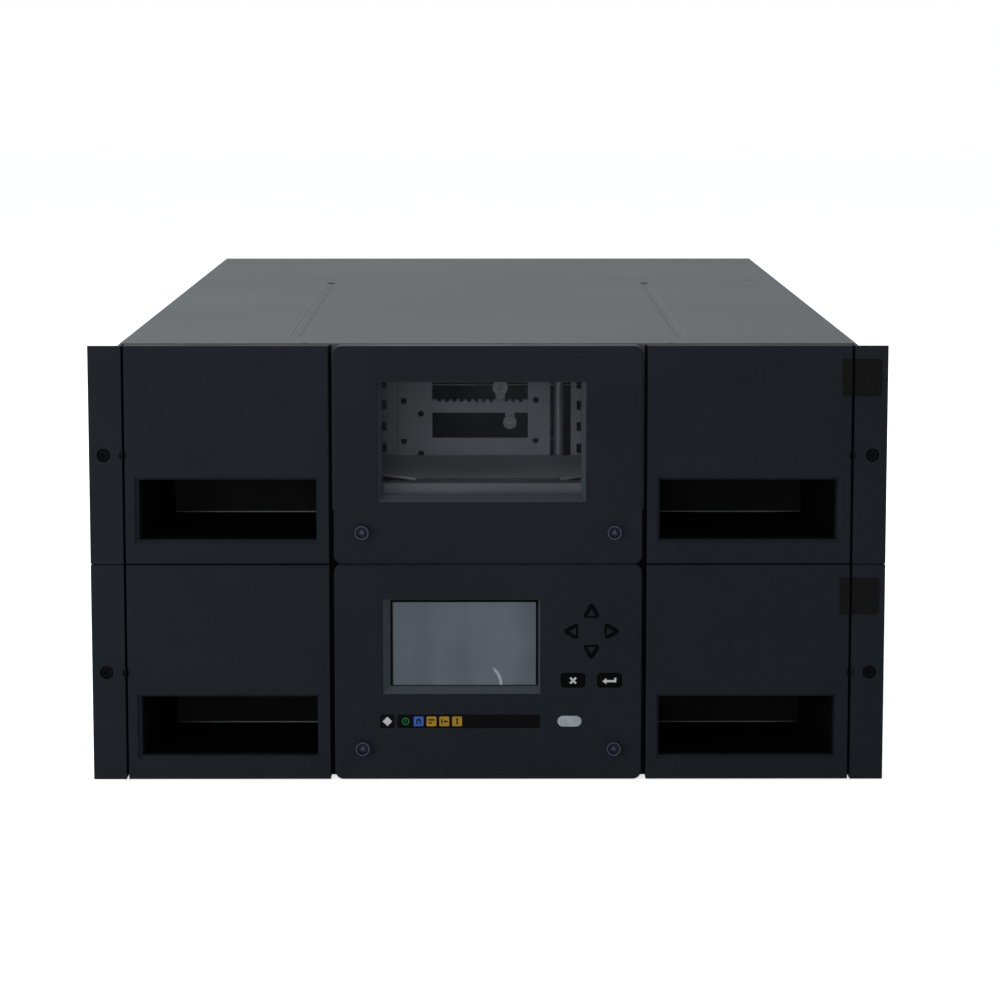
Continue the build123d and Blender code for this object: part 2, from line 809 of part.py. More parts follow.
# Rails that the robot runs on, along both sides of the aisle
robot_y = cells_start + cell_wall / 2 + column_pitch / 2
drive_front_y = back_y - drive_inset - drive_length
rail_x = magazine_inner - rail_edge - rail_width / 2
rail_inner = rail_x - rail_width / 2
rail_top = sheet + rail_height
with BuildPart() as aisle_rails:
    for _, side in sides:
        with BuildSketch(facing_front(chassis_front + sheet)):
            with Locations((side * rail_x, sheet + rail_height / 2)):
                Rectangle(rail_width, rail_height)
        extrude(amount=chassis_front + sheet - drive_front_y)
aisle_rails.part.label = "aisle_rails"
export_step(aisle_rails.part, "parts/aisle_rails.step")

# Carriage: a plate between the rails with a shoe over the rail at each corner
plate_low = sheet + carriage_lift
plate_high = plate_low + carriage_plate
shoe_y = (carriage_length - shoe_length) / 2
with BuildPart() as carriage:
    with BuildSketch(Plane.XY.offset(plate_low)):
        with Locations((0, robot_y)):
            Rectangle(2 * (rail_inner - fit), carriage_length)
            Circle(hub_radius, mode=Mode.SUBTRACT)
    extrude(amount=carriage_plate)
    with BuildSketch(Plane.XY.offset(plate_low)):
        with Locations((0, robot_y)):
            with GridLocations(2 * (rail_inner - fit) - shoe_wall, 2 * shoe_y, 2, 2):
                Rectangle(shoe_wall, shoe_length)
    extrude(amount=rail_top + fit + shoe_cap - plate_low)
    with BuildSketch(Plane.XY.offset(rail_top + fit)):
        with Locations((0, robot_y)):
            with GridLocations(2 * rail_x - fit - shoe_wall, 2 * shoe_y, 2, 2):
                Rectangle(rail_width + fit + shoe_wall, shoe_length)
    extrude(amount=shoe_cap)
carriage.part.label = "robot_carriage"
export_step(carriage.part, "parts/robot_carriage.step")

# Turntable that turns the mast, with its hub in the carriage
turntable_low = plate_high + fit
turntable_high = turntable_low + turntable_thickness
turntable_radius = rail_inner - turntable_gap
with BuildPart() as turntable:
    with BuildSketch(Plane.XY.offset(turntable_low)):
        with Locations((0, robot_y)):
            Circle(turntable_radius)
    extrude(amount=turntable_thickness)
    with BuildSketch(Plane.XY.offset(plate_low)):
        with Locations((0, robot_y)):
            Circle(hub_radius - fit)
    extrude(amount=turntable_low - plate_low)
turntable.part.label = "turntable"
export_step(turntable.part, "parts/turntable.step")

# Mast columns: folded channels open to the back, with rows of holes; the left one is two folds wide
column_front_y = robot_y + column_front
column_y = column_front_y + column_depth / 2
column_top = overall_height - column_headroom
column_height = column_top - turntable_high
left_edge = left_column_x - left_column_width / 2
step_x = left_edge + left_column_step
tie_left = left_column_x + left_column_width / 2
tie_right = right_column_x - right_column_width / 2
left_folds = [(left_edge, step_x, 0), (step_x - column_wall, tie_left, left_column_setback)]
left_rows = [(outer_row_x, outer_row_below_top), (inner_row_x, inner_row_below_top)]
right_folds = [(tie_right, tie_right + right_column_width, 0)]
right_rows = [(right_row_x, right_row_below_top)]
for name, folds, rows in (("left_column", left_folds, left_rows), ("right_column", right_folds, right_rows)):
    with BuildPart() as column:
        for left, right, setback in folds:
            middle_y = column_y + setback / 2
            with BuildSketch(Plane.XY.offset(turntable_high)):
                with Locations(((left + right) / 2, middle_y)):
                    Rectangle(right - left, column_depth - setback)
                with Locations(((left + right) / 2, middle_y + column_wall)):
                    Rectangle(right - left - 2 * column_wall, column_depth - setback, mode=Mode.SUBTRACT)
            extrude(amount=column_height)
        with BuildSketch(facing_front(column_front_y - cut_over)):
            for x, below in rows:
                for place in range(column_hole_count):
                    with Locations((x, from_top(window_level, below + place * column_hole_pitch))):
                        Circle(column_hole_radius)
        extrude(amount=-left_column_setback - column_wall - 2 * cut_over, mode=Mode.SUBTRACT)
    column.part.label = name
    export_step(column.part, f"parts/{name}.step")

# Combs beside the columns: strips with a tooth for each stop of the picker
comb_reach = (comb_tooth_count - 1) * comb_pitch + comb_tooth_height
left_comb_x = fit - left_edge
for name, side, inner_x, width, setback in (
    ("outer_column", 1, right_comb_x, right_comb_width, 0),
    ("left_comb", -1, left_comb_x, left_comb_width, left_column_setback),
):
    with BuildPart() as comb:
        with BuildSketch(facing_front(column_front_y + setback)):
            with Locations((side * (inner_x + width / 2), turntable_high + column_height / 2)):
                Rectangle(width, column_height)
            with Locations((side * (inner_x + width + comb_tooth_length / 2), column_top - comb_reach / 2)):
                with GridLocations(0, comb_pitch, 1, comb_tooth_count):
                    Rectangle(comb_tooth_length, comb_tooth_height)
        extrude(amount=-comb_thickness)
    comb.part.label = name
    export_step(comb.part, f"parts/{name}.step")

with BuildPart() as guide_rod:
    with BuildSketch(Plane.XY.offset(turntable_high)):
        with Locations((rod_x, column_y)):
            Circle(rod_radius)
    extrude(amount=column_height)
guide_rod.part.label = "guide_rod"
export_step(guide_rod.part, "parts/guide_rod.step")

# Ties between the columns: a toothed bar with two straps, an angle below it and a plate across the top
tie_middle = (tie_left + tie_right) / 2
tie_back_y = column_y + tie_thickness / 2
strap_front_y = tie_back_y - strap_thickness
tie_top = tie_bottom + tie_height
top_right = right_comb_x + right_comb_width
tooth_pitch = (tie_right - tie_left) / (tie_tooth_count + 1)
pulleys = [
    ("upper_pulley", upper_pulley_x, upper_pulley_z, upper_pulley_radius),
    ("lower_pulley", lower_pulley_x, lower_pulley_z, lower_pulley_radius),
]
with BuildPart() as mast_ties:
    with BuildSketch(facing_front(tie_back_y - tie_thickness)):
        with Locations((tie_middle, tie_bottom + tie_height / 2)):
            Rectangle(tie_right - tie_left, tie_height)
        with Locations((tie_middle, tie_top)):
            with GridLocations(tooth_pitch, 0, tie_tooth_count, 1):
                Rectangle(tooth_pitch / 2, 2 * tie_tooth, mode=Mode.SUBTRACT)
    extrude(amount=-tie_thickness)
    for _, x, z, _ in pulleys:
        strap_low = min(z - strap_width / 2, tie_bottom)
        strap_high = max(z + strap_width / 2, tie_bottom + tie_height / 2)
        with BuildSketch(facing_front(strap_front_y)):
            with Locations((x, (strap_low + strap_high) / 2)):
                Rectangle(strap_width, strap_high - strap_low)
        extrude(amount=-strap_thickness)
        with BuildSketch(facing_front(strap_front_y)):
            with Locations((x, z)):
                Circle(pulley_pin_radius)
        extrude(amount=pulley_width + 2 * fit)
    with BuildSketch(Plane.YZ.offset(tie_left)):
        with Locations((column_front_y + left_column_setback, low_tie_top)):
            Rectangle(column_wall, low_tie_height, align=(Align.MIN, Align.MAX))
            Rectangle(low_tie_flange, column_wall, align=(Align.MIN, Align.MAX))
    extrude(amount=tie_right - tie_left)
    with BuildSketch(Plane.XY.offset(column_top)):
        with Locations(((left_edge + top_right) / 2, column_y)):
            Rectangle(top_right - left_edge, column_depth)
    extrude(amount=column_tie)
mast_ties.part.label = "mast_ties"
export_step(mast_ties.part, "parts/mast_ties.step")

# Pulleys that lead the picker's cord, turning on the pins of the straps
for name, x, z, radius in pulleys:
    with BuildPart() as pulley:
        with BuildSketch(facing_front(strap_front_y - fit)):
            with Locations((x, z)):
                Circle(radius)
                Circle(pulley_pin_radius + fit, mode=Mode.SUBTRACT)
        extrude(amount=pulley_width)
    pulley.part.label = name
    export_step(pulley.part, f"parts/{name}.step")

# Picker: a tray that takes one cartridge, carried up and down the mast
picker_low = picker_deck_top - picker_deck_thickness - picker_room - picker_floor
tray_top = picker_deck_top - picker_deck_thickness
cheek_inner = cartridge_width / 2 + cell_clear
roller_x = cartridge_width / 2 + roller_radius
hook_x = roller_x + roller_radius + fit + hook_thickness / 2
hook_z = picker_low + (tray_top - picker_low) / 2


def picker_plan():
    """The outline of the picker seen from above: a rectangle with its front corners cut off."""
    with BuildSketch() as plan:
        with BuildLine():
            Polyline(
                (-picker_half_width, picker_back),
                (picker_half_width, picker_back),
                (picker_half_width, picker_chamfer_y - picker_front),
                (picker_half_width - picker_chamfer_x, -picker_front),
                (picker_chamfer_x - picker_half_width, -picker_front),
                (-picker_half_width, picker_chamfer_y - picker_front),
                close=True,
            )
        make_face()
    return plan.sketch


with BuildPart() as picker_tray:
    with BuildSketch(Plane.XY.offset(picker_low)):
        with Locations((0, robot_y)):
            add(picker_plan())
    extrude(amount=picker_floor)
    with BuildSketch(Plane.XY.offset(picker_low)):
        for _, side in sides:
            with Locations((side * (cheek_inner + picker_cheek / 2), robot_y + (picker_back - roller_y) / 2)):
                Rectangle(picker_cheek, picker_back + roller_y)
        with Locations((0, robot_y + picker_back - picker_cheek / 2)):
            Rectangle(2 * cheek_inner, picker_cheek)
        with Locations((hook_x - hook_thickness / 2 - fit - hook_thickness, robot_y)):
            Rectangle(2 * hook_thickness, hook_guide_length)
    extrude(amount=tray_top - picker_low)
    with BuildSketch(Plane.XY.offset(picker_low)):
        with Locations((rod_x, robot_y + picker_back + column_depth / 2)):
            Rectangle(bushing_width, column_depth + picker_cheek)
        with Locations(((left_edge + step_x) / 2, column_front_y - fit)):
            pad_depth = column_front - picker_back + picker_cheek
            Rectangle(left_pad_width, pad_depth, align=(Align.CENTER, Align.MAX))
    extrude(amount=bushing_height)
    with BuildSketch(Plane.XY.offset(picker_low + picker_floor)):
        for _, side in sides:
            with Locations((side * roller_x, robot_y - roller_y)):
                Circle(roller_radius + cell_clear)
    extrude(amount=picker_room + cut_over, mode=Mode.SUBTRACT)
    with BuildSketch(Plane.XY.offset(picker_low - cut_over)):
        with Locations((rod_x, column_y)):
            Circle(rod_radius + fit)
    extrude(amount=tray_top - picker_low + 2 * cut_over, mode=Mode.SUBTRACT)
    with BuildSketch(Plane.XY.offset(picker_low + picker_floor)):
        for _, side in sides:
            with Locations((side * roller_x, robot_y - roller_y)):
                Circle(roller_pin_radius)
    extrude(amount=picker_room)
picker_tray.part.label = "picker_tray"
export_step(picker_tray.part, "parts/picker_tray.step")

with BuildPart() as picker_deck:
    with BuildSketch(Plane.XY.offset(tray_top)):
        with Locations((0, robot_y)):
            add(picker_plan())
    extrude(amount=picker_deck_thickness)
picker_deck.part.label = "picker_deck"
export_step(picker_deck.part, "parts/picker_deck.step")

# Rollers that draw a cartridge in, and the hook that starts it
for side_name, side in sides:
    with BuildPart() as roller:
        with BuildSketch(Plane.XY.offset(hook_z - roller_height / 2)):
            with Locations((side * roller_x, robot_y - roller_y)):
                Circle(roller_radius)
                Circle(roller_pin_radius + fit, mode=Mode.SUBTRACT)
        extrude(amount=roller_height)
    roller.part.label = f"{side_name}_feed_roller"
    export_step(roller.part, f"parts/{side_name}_feed_roller.step")

with BuildPart() as cartridge_hook:
    with BuildSketch(Plane.XY.offset(hook_z - hook_height / 2)):
        with Locations((hook_x, robot_y - hook_reach + hook_length / 2)):
            Rectangle(hook_thickness, hook_length)
        with Locations(((hook_x + cheek_inner) / 2, robot_y - hook_reach + hook_thickness / 2)):
            Rectangle(hook_x - cheek_inner, hook_thickness)
    extrude(amount=hook_height)
cartridge_hook.part.label = "cartridge_hook"
export_step(cartridge_hook.part, "parts/cartridge_hook.step")

# Drives in their sleds, stacked at the back of the aisle
sled_face_width = drive_bay_width + 2 * face_overlap
with BuildPart() as tape_drives:
    for _, level in levels:
        for place in range(drive_count):
            low = floor_of(level) + deck_top + fit + sled_sheet + place * drive_pitch
            with BuildSketch(facing_front(drive_front_y)):
                with Locations((0, low + drive_height / 2)):
                    Rectangle(drive_width, drive_height)
            extrude(amount=-drive_length)
            with BuildSketch(facing_front(drive_front_y)):
                with Locations((0, low + drive_height / 2)):
                    Rectangle(drive_door_width, drive_door_height)
            extrude(amount=-drive_door_depth, mode=Mode.SUBTRACT)
tape_drives.part.label = "tape_drives"
export_step(tape_drives.part, "parts/tape_drives.step")

with BuildPart() as drive_sleds:
    for _, level in levels:
        for place in range(drive_count):
            low = floor_of(level) + deck_top + fit + place * drive_pitch
            with BuildSketch(facing_front(drive_front_y)):
                with Locations((0, low + sled_sheet / 2)):
                    Rectangle(drive_width + face_overlap, sled_sheet)
            extrude(amount=drive_front_y - back_y)
            with BuildSketch(facing_front(back_y)):
                with Locations((0, low + drive_height / 2)):
                    Rectangle(sled_face_width, drive_height)
            extrude(amount=-face_sheet)
drive_sleds.part.label = "drive_sleds"
export_step(drive_sleds.part, "parts/drive_sleds.step")

# Power supplies: a case with a fan well and a socket for the mains lead
fan_x = -supply_centre_x - fan_offset
inlet_x = -supply_centre_x + inlet_offset
supply_back = back_y + face_sheet
with BuildPart() as power_supplies:
    for _, level in levels:
        low = floor_of(level) + deck_top + fit
        middle = low + supply_height / 2 - fit
        with BuildSketch(facing_front(supply_back)):
            with Locations((-supply_centre_x, middle)):
                Rectangle(supply_width + 2 * face_overlap, supply_height)
        extrude(amount=face_sheet)
        with BuildSketch(facing_front(back_y)):
            with Locations((-supply_centre_x, middle)):
                Rectangle(supply_width, supply_height - 2 * fit)
        extrude(amount=supply_length)
        with BuildSketch(facing_front(supply_back + cut_over)):
            with Locations((fan_x, middle)):
                Circle(fan_radius)
        extrude(amount=fan_depth + cut_over, mode=Mode.SUBTRACT)
        with BuildSketch(facing_front(supply_back + cut_over)):
            with Locations((inlet_x, middle)):
                Rectangle(inlet_width + 2 * inlet_wall, inlet_height + 2 * inlet_wall)
        extrude(amount=inlet_depth + inlet_wall + cut_over, mode=Mode.SUBTRACT)
        with BuildSketch(facing_front(supply_back - fan_depth)):
            with Locations((fan_x, middle)):
                Circle(fan_bearing_radius)
        extrude(amount=-fan_depth / 2)
power_supplies.part.label = "power_supplies"
export_step(power_supplies.part, "parts/power_supplies.step")

with BuildPart() as mains_inlets:
    for _, level in levels:
        middle = floor_of(level) + deck_top + supply_height / 2
        with BuildSketch(facing_front(supply_back)):
            with Locations((inlet_x, middle)):
                Rectangle(inlet_width + 2 * inlet_wall, inlet_height + 2 * inlet_wall)
        extrude(amount=inlet_depth + inlet_wall)
        with BuildSketch(facing_front(supply_back + cut_over)):
            with Locations((inlet_x, middle)):
                Rectangle(inlet_width, inlet_height)
        extrude(amount=inlet_depth + cut_over, mode=Mode.SUBTRACT)
mains_inlets.part.label = "mains_inlets"
export_step(mains_inlets.part, "parts/mains_inlets.step")

# Fans: a hub with twisted blades, turning on the bearing in the well


def blade_chord(angle):
    """The width of a blade that leans so far from the fan's axis and still fills the blade depth."""
    lean = math.radians(angle)
    return (fan_blade_depth - fan_blade_thickness * math.sin(lean)) / math.cos(lean)


tip_half_width = blade_chord(fan_tip_angle) / 2
tip_radius = math.sqrt((fan_radius - fan_tip_gap) ** 2 - tip_half_width ** 2)
root_radius = fan_hub_radius - fan_blade_thickness
blade_sections = [
    (root_radius, fan_root_angle, blade_chord(fan_root_angle)),
    (tip_radius, fan_tip_angle, blade_chord(fan_tip_angle)),
]
for level_name, level in levels:
    middle = floor_of(level) + deck_top + supply_height / 2
    fan_low_y = supply_back - fan_depth + fit
    hub_middle = Vector(fan_x, fan_low_y + fan_blade_depth / 2, middle)
    with BuildPart() as fan:
        with BuildSketch(facing_front(fan_low_y)):
            with Locations((fan_x, middle)):
                Circle(fan_hub_radius)
        extrude(amount=-fan_blade_depth)
        for blade in range(fan_blade_count):
            outwards = Vector(1, 0, 0).rotate(Axis.Y, blade * 360 / fan_blade_count)
            for radius, angle, chord in blade_sections:
                section = Plane(hub_middle + outwards * radius, x_dir=(0, 1, 0), z_dir=outwards)
                with BuildSketch(section):
                    Rectangle(chord, fan_blade_thickness, rotation=angle)
            loft()
        with BuildSketch(facing_front(fan_low_y)):
            with Locations((fan_x, middle)):
                Circle(fan_bearing_radius + fit)
        extrude(amount=-fan_blade_depth - cut_over, mode=Mode.SUBTRACT)
    fan.part.label = f"{level_name}_fan"
    export_step(fan.part, f"parts/{level_name}_fan.step")

# Wire grilles over the fans: rings on crossed bars that stand on the case
grille_radius = fan_radius + grille_edge
with BuildPart() as fan_grilles:
    for _, level in levels:
        middle = floor_of(level) + deck_top + supply_height / 2
        with BuildSketch(facing_front(supply_back)):
            with Locations((fan_x, middle)):
                with PolarLocations(0, grille_bar_count, start_angle=45, angular_range=180, endpoint=False):
                    Rectangle(2 * grille_radius, grille_wire)
        extrude(amount=-grille_wire)
        with BuildSketch(facing_front(supply_back + grille_wire)):
            with Locations((fan_x, middle)):
                for ring in range(grille_ring_count):
                    ring_radius = grille_radius * (grille_ring_count - ring) / grille_ring_count
                    Circle(ring_radius)
                    Circle(ring_radius - grille_wire, mode=Mode.SUBTRACT)
        extrude(amount=-grille_wire)
fan_grilles.part.label = "fan_grilles"
export_step(fan_grilles.part, "parts/fan_grilles.step")

# Control cards, each with a block of two network ports
block_width = 2 * port_width + 3 * port_wall
block_height = port_height + 2 * port_wall
with BuildPart() as control_cards:
    for _, level in levels:
        low = floor_of(level) + deck_top + fit
        middle = low + card_height / 2 - fit
        with BuildSketch(facing_front(supply_back)):
            with Locations((supply_centre_x, middle)):
                Rectangle(supply_width + 2 * face_overlap, card_height)
                Rectangle(block_width + 2 * fit, block_height + 2 * fit, mode=Mode.SUBTRACT)
        extrude(amount=face_sheet)
        with BuildSketch(facing_front(back_y)):
            with Locations((supply_centre_x, low + board_thickness / 2)):
                Rectangle(supply_width, board_thickness)
        extrude(amount=card_length)
control_cards.part.label = "control_cards"
export_step(control_cards.part, "parts/control_cards.step")

with BuildPart() as port_blocks:
    for _, level in levels:
        middle = floor_of(level) + deck_top + card_height / 2
        with BuildSketch(facing_front(supply_back)):
            with Locations((supply_centre_x, middle)):
                Rectangle(block_width, block_height)
        extrude(amount=port_depth + port_wall)
        with BuildSketch(facing_front(supply_back + cut_over)):
            with Locations((supply_centre_x, middle)):
                with GridLocations(port_width + port_wall, 0, 2, 1):
                    Rectangle(port_width, port_height)
        extrude(amount=port_depth + cut_over, mode=Mode.SUBTRACT)
port_blocks.part.label = "port_blocks"
export_step(port_blocks.part, "parts/port_blocks.step")

# Screws that hold the sleds at the back, one at each end of each sled
with BuildPart() as rear_screws:
    for _, level in levels:
        for place in range(drive_count):
            middle = floor_of(level) + deck_top + fit + drive_height / 2 + place * drive_pitch
            with BuildSketch(facing_front(supply_back)):
                with Locations((0, middle)):
                    with GridLocations(sled_face_width - 2 * rear_screw_edge, 0, 2, 1):
                        RegularPolygon(rear_screw_radius, rear_screw_flat_count)
            extrude(amount=face_sheet - rear_proud)
rear_screws.part.label = "rear_screws"
export_step(rear_screws.part, "parts/rear_screws.step")
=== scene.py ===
"""The looks of a rack-mounted data tape library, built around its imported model."""
import json
import math

import bmesh
import bpy
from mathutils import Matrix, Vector


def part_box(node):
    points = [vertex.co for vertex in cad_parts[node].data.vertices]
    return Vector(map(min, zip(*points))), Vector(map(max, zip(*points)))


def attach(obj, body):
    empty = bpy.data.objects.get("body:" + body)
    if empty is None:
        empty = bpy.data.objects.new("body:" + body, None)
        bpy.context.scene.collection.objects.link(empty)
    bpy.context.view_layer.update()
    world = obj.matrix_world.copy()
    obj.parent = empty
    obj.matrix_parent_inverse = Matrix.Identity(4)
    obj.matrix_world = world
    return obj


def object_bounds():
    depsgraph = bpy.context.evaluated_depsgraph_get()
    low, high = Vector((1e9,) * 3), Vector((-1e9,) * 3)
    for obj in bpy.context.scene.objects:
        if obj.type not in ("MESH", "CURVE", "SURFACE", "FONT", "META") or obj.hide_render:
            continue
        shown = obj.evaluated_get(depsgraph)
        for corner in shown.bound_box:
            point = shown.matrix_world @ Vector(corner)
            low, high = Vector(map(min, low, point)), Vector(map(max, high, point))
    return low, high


bl_info = {
    "name": "Tape library looks",
    "version": (1, 0, 0),
    "blender": (4, 5, 0),
    "location": "View3D > Sidebar > Tape Library",
    "description": "Builds the finishes and the small parts of a rack-mounted tape library",
    "category": "Object",
}

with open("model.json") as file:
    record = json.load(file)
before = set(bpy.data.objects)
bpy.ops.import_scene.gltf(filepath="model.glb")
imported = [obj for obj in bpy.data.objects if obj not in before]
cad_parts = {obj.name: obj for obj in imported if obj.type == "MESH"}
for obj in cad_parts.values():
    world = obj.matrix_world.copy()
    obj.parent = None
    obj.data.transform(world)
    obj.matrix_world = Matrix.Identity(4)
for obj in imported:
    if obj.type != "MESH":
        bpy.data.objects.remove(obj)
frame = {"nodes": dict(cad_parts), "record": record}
cad_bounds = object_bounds()

MM = 0.001
EDGE_ANGLE = math.radians(30)
dressed = set()

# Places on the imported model, in metres
FRONT_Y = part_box("window_bezel")[0][1]
COVER_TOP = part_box("top_cover")[1][2]
EAR_THICKNESS = 3.0 * MM
BEAD_X, BEAD_HALF, BEAD_START, BEAD_END = 120 * MM, 2.8 * MM, -370 * MM, 119 * MM
SLOTS_START, SLOTS_END, SLOTS_REACH, SLOT_DEPTH = BEAD_END + 8 * MM, 420 * MM, 215 * MM, 0.15 * MM
WINDOW_HALF, WINDOW_FOOT = 95 * MM, 165 * MM
PAINTED_SHADE_BEHIND_FRONT = 44 * MM
POCKET_DEPTH = 58 * MM
POCKET_EDGES = (24.3 * MM, 157.7 * MM)
HIGHLIGHT_UP_TO, HIGHLIGHT_GONE_AT = 165 * MM, 205 * MM
RACK_SPACING = next(
    mount["dims"]["spacing_x_mm"] for mount in frame["record"]["mounts"] if mount["name"] == "rack_holes"
) * MM


def colour(red, green, blue):
    """A colour given as on a screen, 0 to 255, as the linear values that a shader takes."""
    return tuple(
        c / 12.92 if c <= 0.04045 else ((c + 0.055) / 1.055) ** 2.4
        for c in (red / 255, green / 255, blue / 255)
    )


# Shader maths

class Value:
    """A number that changes over a surface, with Python's operators."""

    def __init__(self, nodes, socket):
        self.nodes = nodes
        self.socket = socket

    def math(self, operation, first, second):
        out = self.nodes.node("ShaderNodeMath", {"operation": operation}, {0: first, 1: second})
        return Value(self.nodes, out.outputs[0])

    def __add__(self, other):
        return self.math("ADD", self, other)

    def __radd__(self, other):
        return self.math("ADD", other, self)

    def __sub__(self, other):
        return self.math("SUBTRACT", self, other)

    def __rsub__(self, other):
        return self.math("SUBTRACT", other, self)

    def __mul__(self, other):
        return self.math("MULTIPLY", self, other)

    def __rmul__(self, other):
        return self.math("MULTIPLY", other, self)

    def __pow__(self, other):
        return self.math("POWER", self, other)

    def __gt__(self, other):
        return self.math("GREATER_THAN", self, other)

    def __lt__(self, other):
        return self.math("LESS_THAN", self, other)

    def size(self):
        return self.math("ABSOLUTE", self, 0.0)

    def wave(self):
        return self.math("SINE", self, 0.0)

    def larger(self, other):
        return self.math("MAXIMUM", self, other)

    def ramp(self, low, high, bottom=0.0, top=1.0):
        """Runs smoothly from bottom at low to top at high, and stays there outside."""
        out = self.nodes.node(
            "ShaderNodeMapRange",
            {"interpolation_type": "SMOOTHSTEP"},
            {"Value": self, "From Min": low, "From Max": high, "To Min": bottom, "To Max": top},
        )
        return Value(self.nodes, out.outputs[0])


class Nodes:
    """The nodes of a material or of the world, under construction."""

    def __init__(self, owner):
        owner.use_nodes = True
        self.tree = owner.node_tree
        self.tree.nodes.clear()

    def node(self, kind, settings=None, inputs=None):
        """Any node: its settings are set first, then the values or links of its sockets."""
        made = self.tree.nodes.new(kind)
        for key, value in (settings or {}).items():
            setattr(made, key, value)
        for key, value in (inputs or {}).items():
            socket = made.inputs[key]
            if isinstance(value, Value):
                value = value.socket
            if isinstance(value, bpy.types.NodeSocket):
                self.tree.links.new(value, socket)
            elif isinstance(value, tuple) and socket.type == "RGBA" and len(value) == 3:
                socket.default_value = (*value, 1.0)
            else:
                socket.default_value = value
        return made

    def seen_by(self):
        """Whether a camera, a glossy or a transmission ray looks, as three values of 0 or 1."""
        rays = self.node("ShaderNodeLightPath").outputs
        return [Value(self, rays[f"Is {kind} Ray"]) for kind in ("Camera", "Glossy", "Transmission")]


class Finish(Nodes):
    """A material under construction."""

    def __init__(self, name):
        self.material = bpy.data.materials.new(name)
        super().__init__(self.material)

    def place(self, scale, stretch=(1.0, 1.0, 1.0)):
        """The point on the piece, in metres times scale, stretched along each axis."""
        point = self.node("ShaderNodeTexCoord").outputs["Object"]
        factors = tuple(scale * s for s in stretch)
        out = self.node("ShaderNodeVectorMath", {"operation": "MULTIPLY"}, {0: point, 1: factors})
        return out.outputs[0]

    def along(self):
        """The point's X, Y and Z in metres, as three values."""
        return self.split(self.node("ShaderNodeTexCoord").outputs["Object"])

    def noise(self, size, detail=2.0, stretch=(1.0, 1.0, 1.0)):
        """Soft noise from 0 to 1 whose patches are about size millimetres across."""
        out = self.node(
            "ShaderNodeTexNoise",
            {"noise_dimensions": "3D"},
            {"Vector": self.place(1.0 / (size * MM), stretch), "Scale": 1.0, "Detail": detail},
        )
        return Value(self, out.outputs[0])

    def grain(self, size):
        """Rounded cells about size millimetres across, 0 at their middles."""
        out = self.node(
            "ShaderNodeTexVoronoi",
            {"feature": "F1"},
            {"Vector": self.place(1.0 / (size * MM)), "Scale": 1.0},
        )
        return Value(self, out.outputs[0])

    def blend(self, first, second, mask):
        """A colour between two colours, by a value from 0 to 1."""
        out = self.node(
            "ShaderNodeMix",
            {"data_type": "RGBA", "clamp_factor": True},
            {"Factor": mask, 6: first, 7: second},
        )
        return out.outputs[2]

    def bump(self, height, depth, strength):
        """The surface's direction over bumps of a depth in millimetres."""
        out = self.node(
            "ShaderNodeBump", None, {"Height": height, "Distance": depth * MM, "Strength": strength}
        )
        return out.outputs[0]

    def split(self, vector):
        """A vector's three values."""
        parts = self.node("ShaderNodeSeparateXYZ", None, {0: vector})
        return [Value(self, out) for out in parts.outputs]

    def surface(self, **inputs):
        """Ends the material with one surface shader."""
        named = {}
        for key, value in inputs.items():
            named[key.replace("_", " ").title().replace("Ior", "IOR")] = value
        shader = self.node("ShaderNodeBsdfPrincipled", None, named)
        self.node("ShaderNodeOutputMaterial", None, {"Surface": shader.outputs[0]})
        return self.material


# Finishes

def moulded(name, tone, light, rough=0.5, gloss=0.03, texture=0.35, painted_light_by_depth=None, painted_edge_highlight=None):
    """Fine textured moulded plastic with faint clouds.

    The depth tone is painted light on what lies behind the front, with the depths in millimetres
    where it starts and where it is full: a painted highlight on the bezels' splayed edges and
    painted shade deep in the handle pockets. The edge tone is a painted highlight along the
    lower edge of the handle pockets' back walls.
    """
    f = Finish(name)
    cloud = f.noise(45, 3)
    fine = f.noise(texture, 3)
    speck = f.noise(2.2, 3)
    mask = 0.5 * cloud.ramp(0.3, 0.7) + 0.5 * speck.ramp(0.4, 0.75)
    base = f.blend(tone, light, mask)
    # Painted light by depth: lighter splayed edges on the bezels, near-black handle pockets.
    if painted_light_by_depth:
        shade, start, full = painted_light_by_depth
        _, depth, _ = f.along()
        base = f.blend(base, shade, depth.ramp(FRONT_Y + start * MM, FRONT_Y + full * MM))
    # Painted highlight: a pale line along the lower edge of each handle pocket's back wall, fading out
    # towards the sides.
    if painted_edge_highlight:
        x, depth, z = f.along()
        line, fade, before_wall = 0.1 * MM, 0.7 * MM, 1.0 * MM
        for height in POCKET_EDGES:
            edge = (z - height).size().ramp(line, fade, 1.0, 0.0)
            highlight_reach = x.size().ramp(HIGHLIGHT_UP_TO, HIGHLIGHT_GONE_AT, 1.0, 0.0)
            base = f.blend(base, painted_edge_highlight, edge * highlight_reach * (depth > FRONT_Y + POCKET_DEPTH - before_wall))
    return f.surface(
        base_color=base,
        roughness=(rough + 0.1 * cloud.ramp(0.3, 0.7) - 0.05 * speck),
        specular_ior_level=gloss,
        normal=f.bump(fine, 0.02, 0.5),
    )


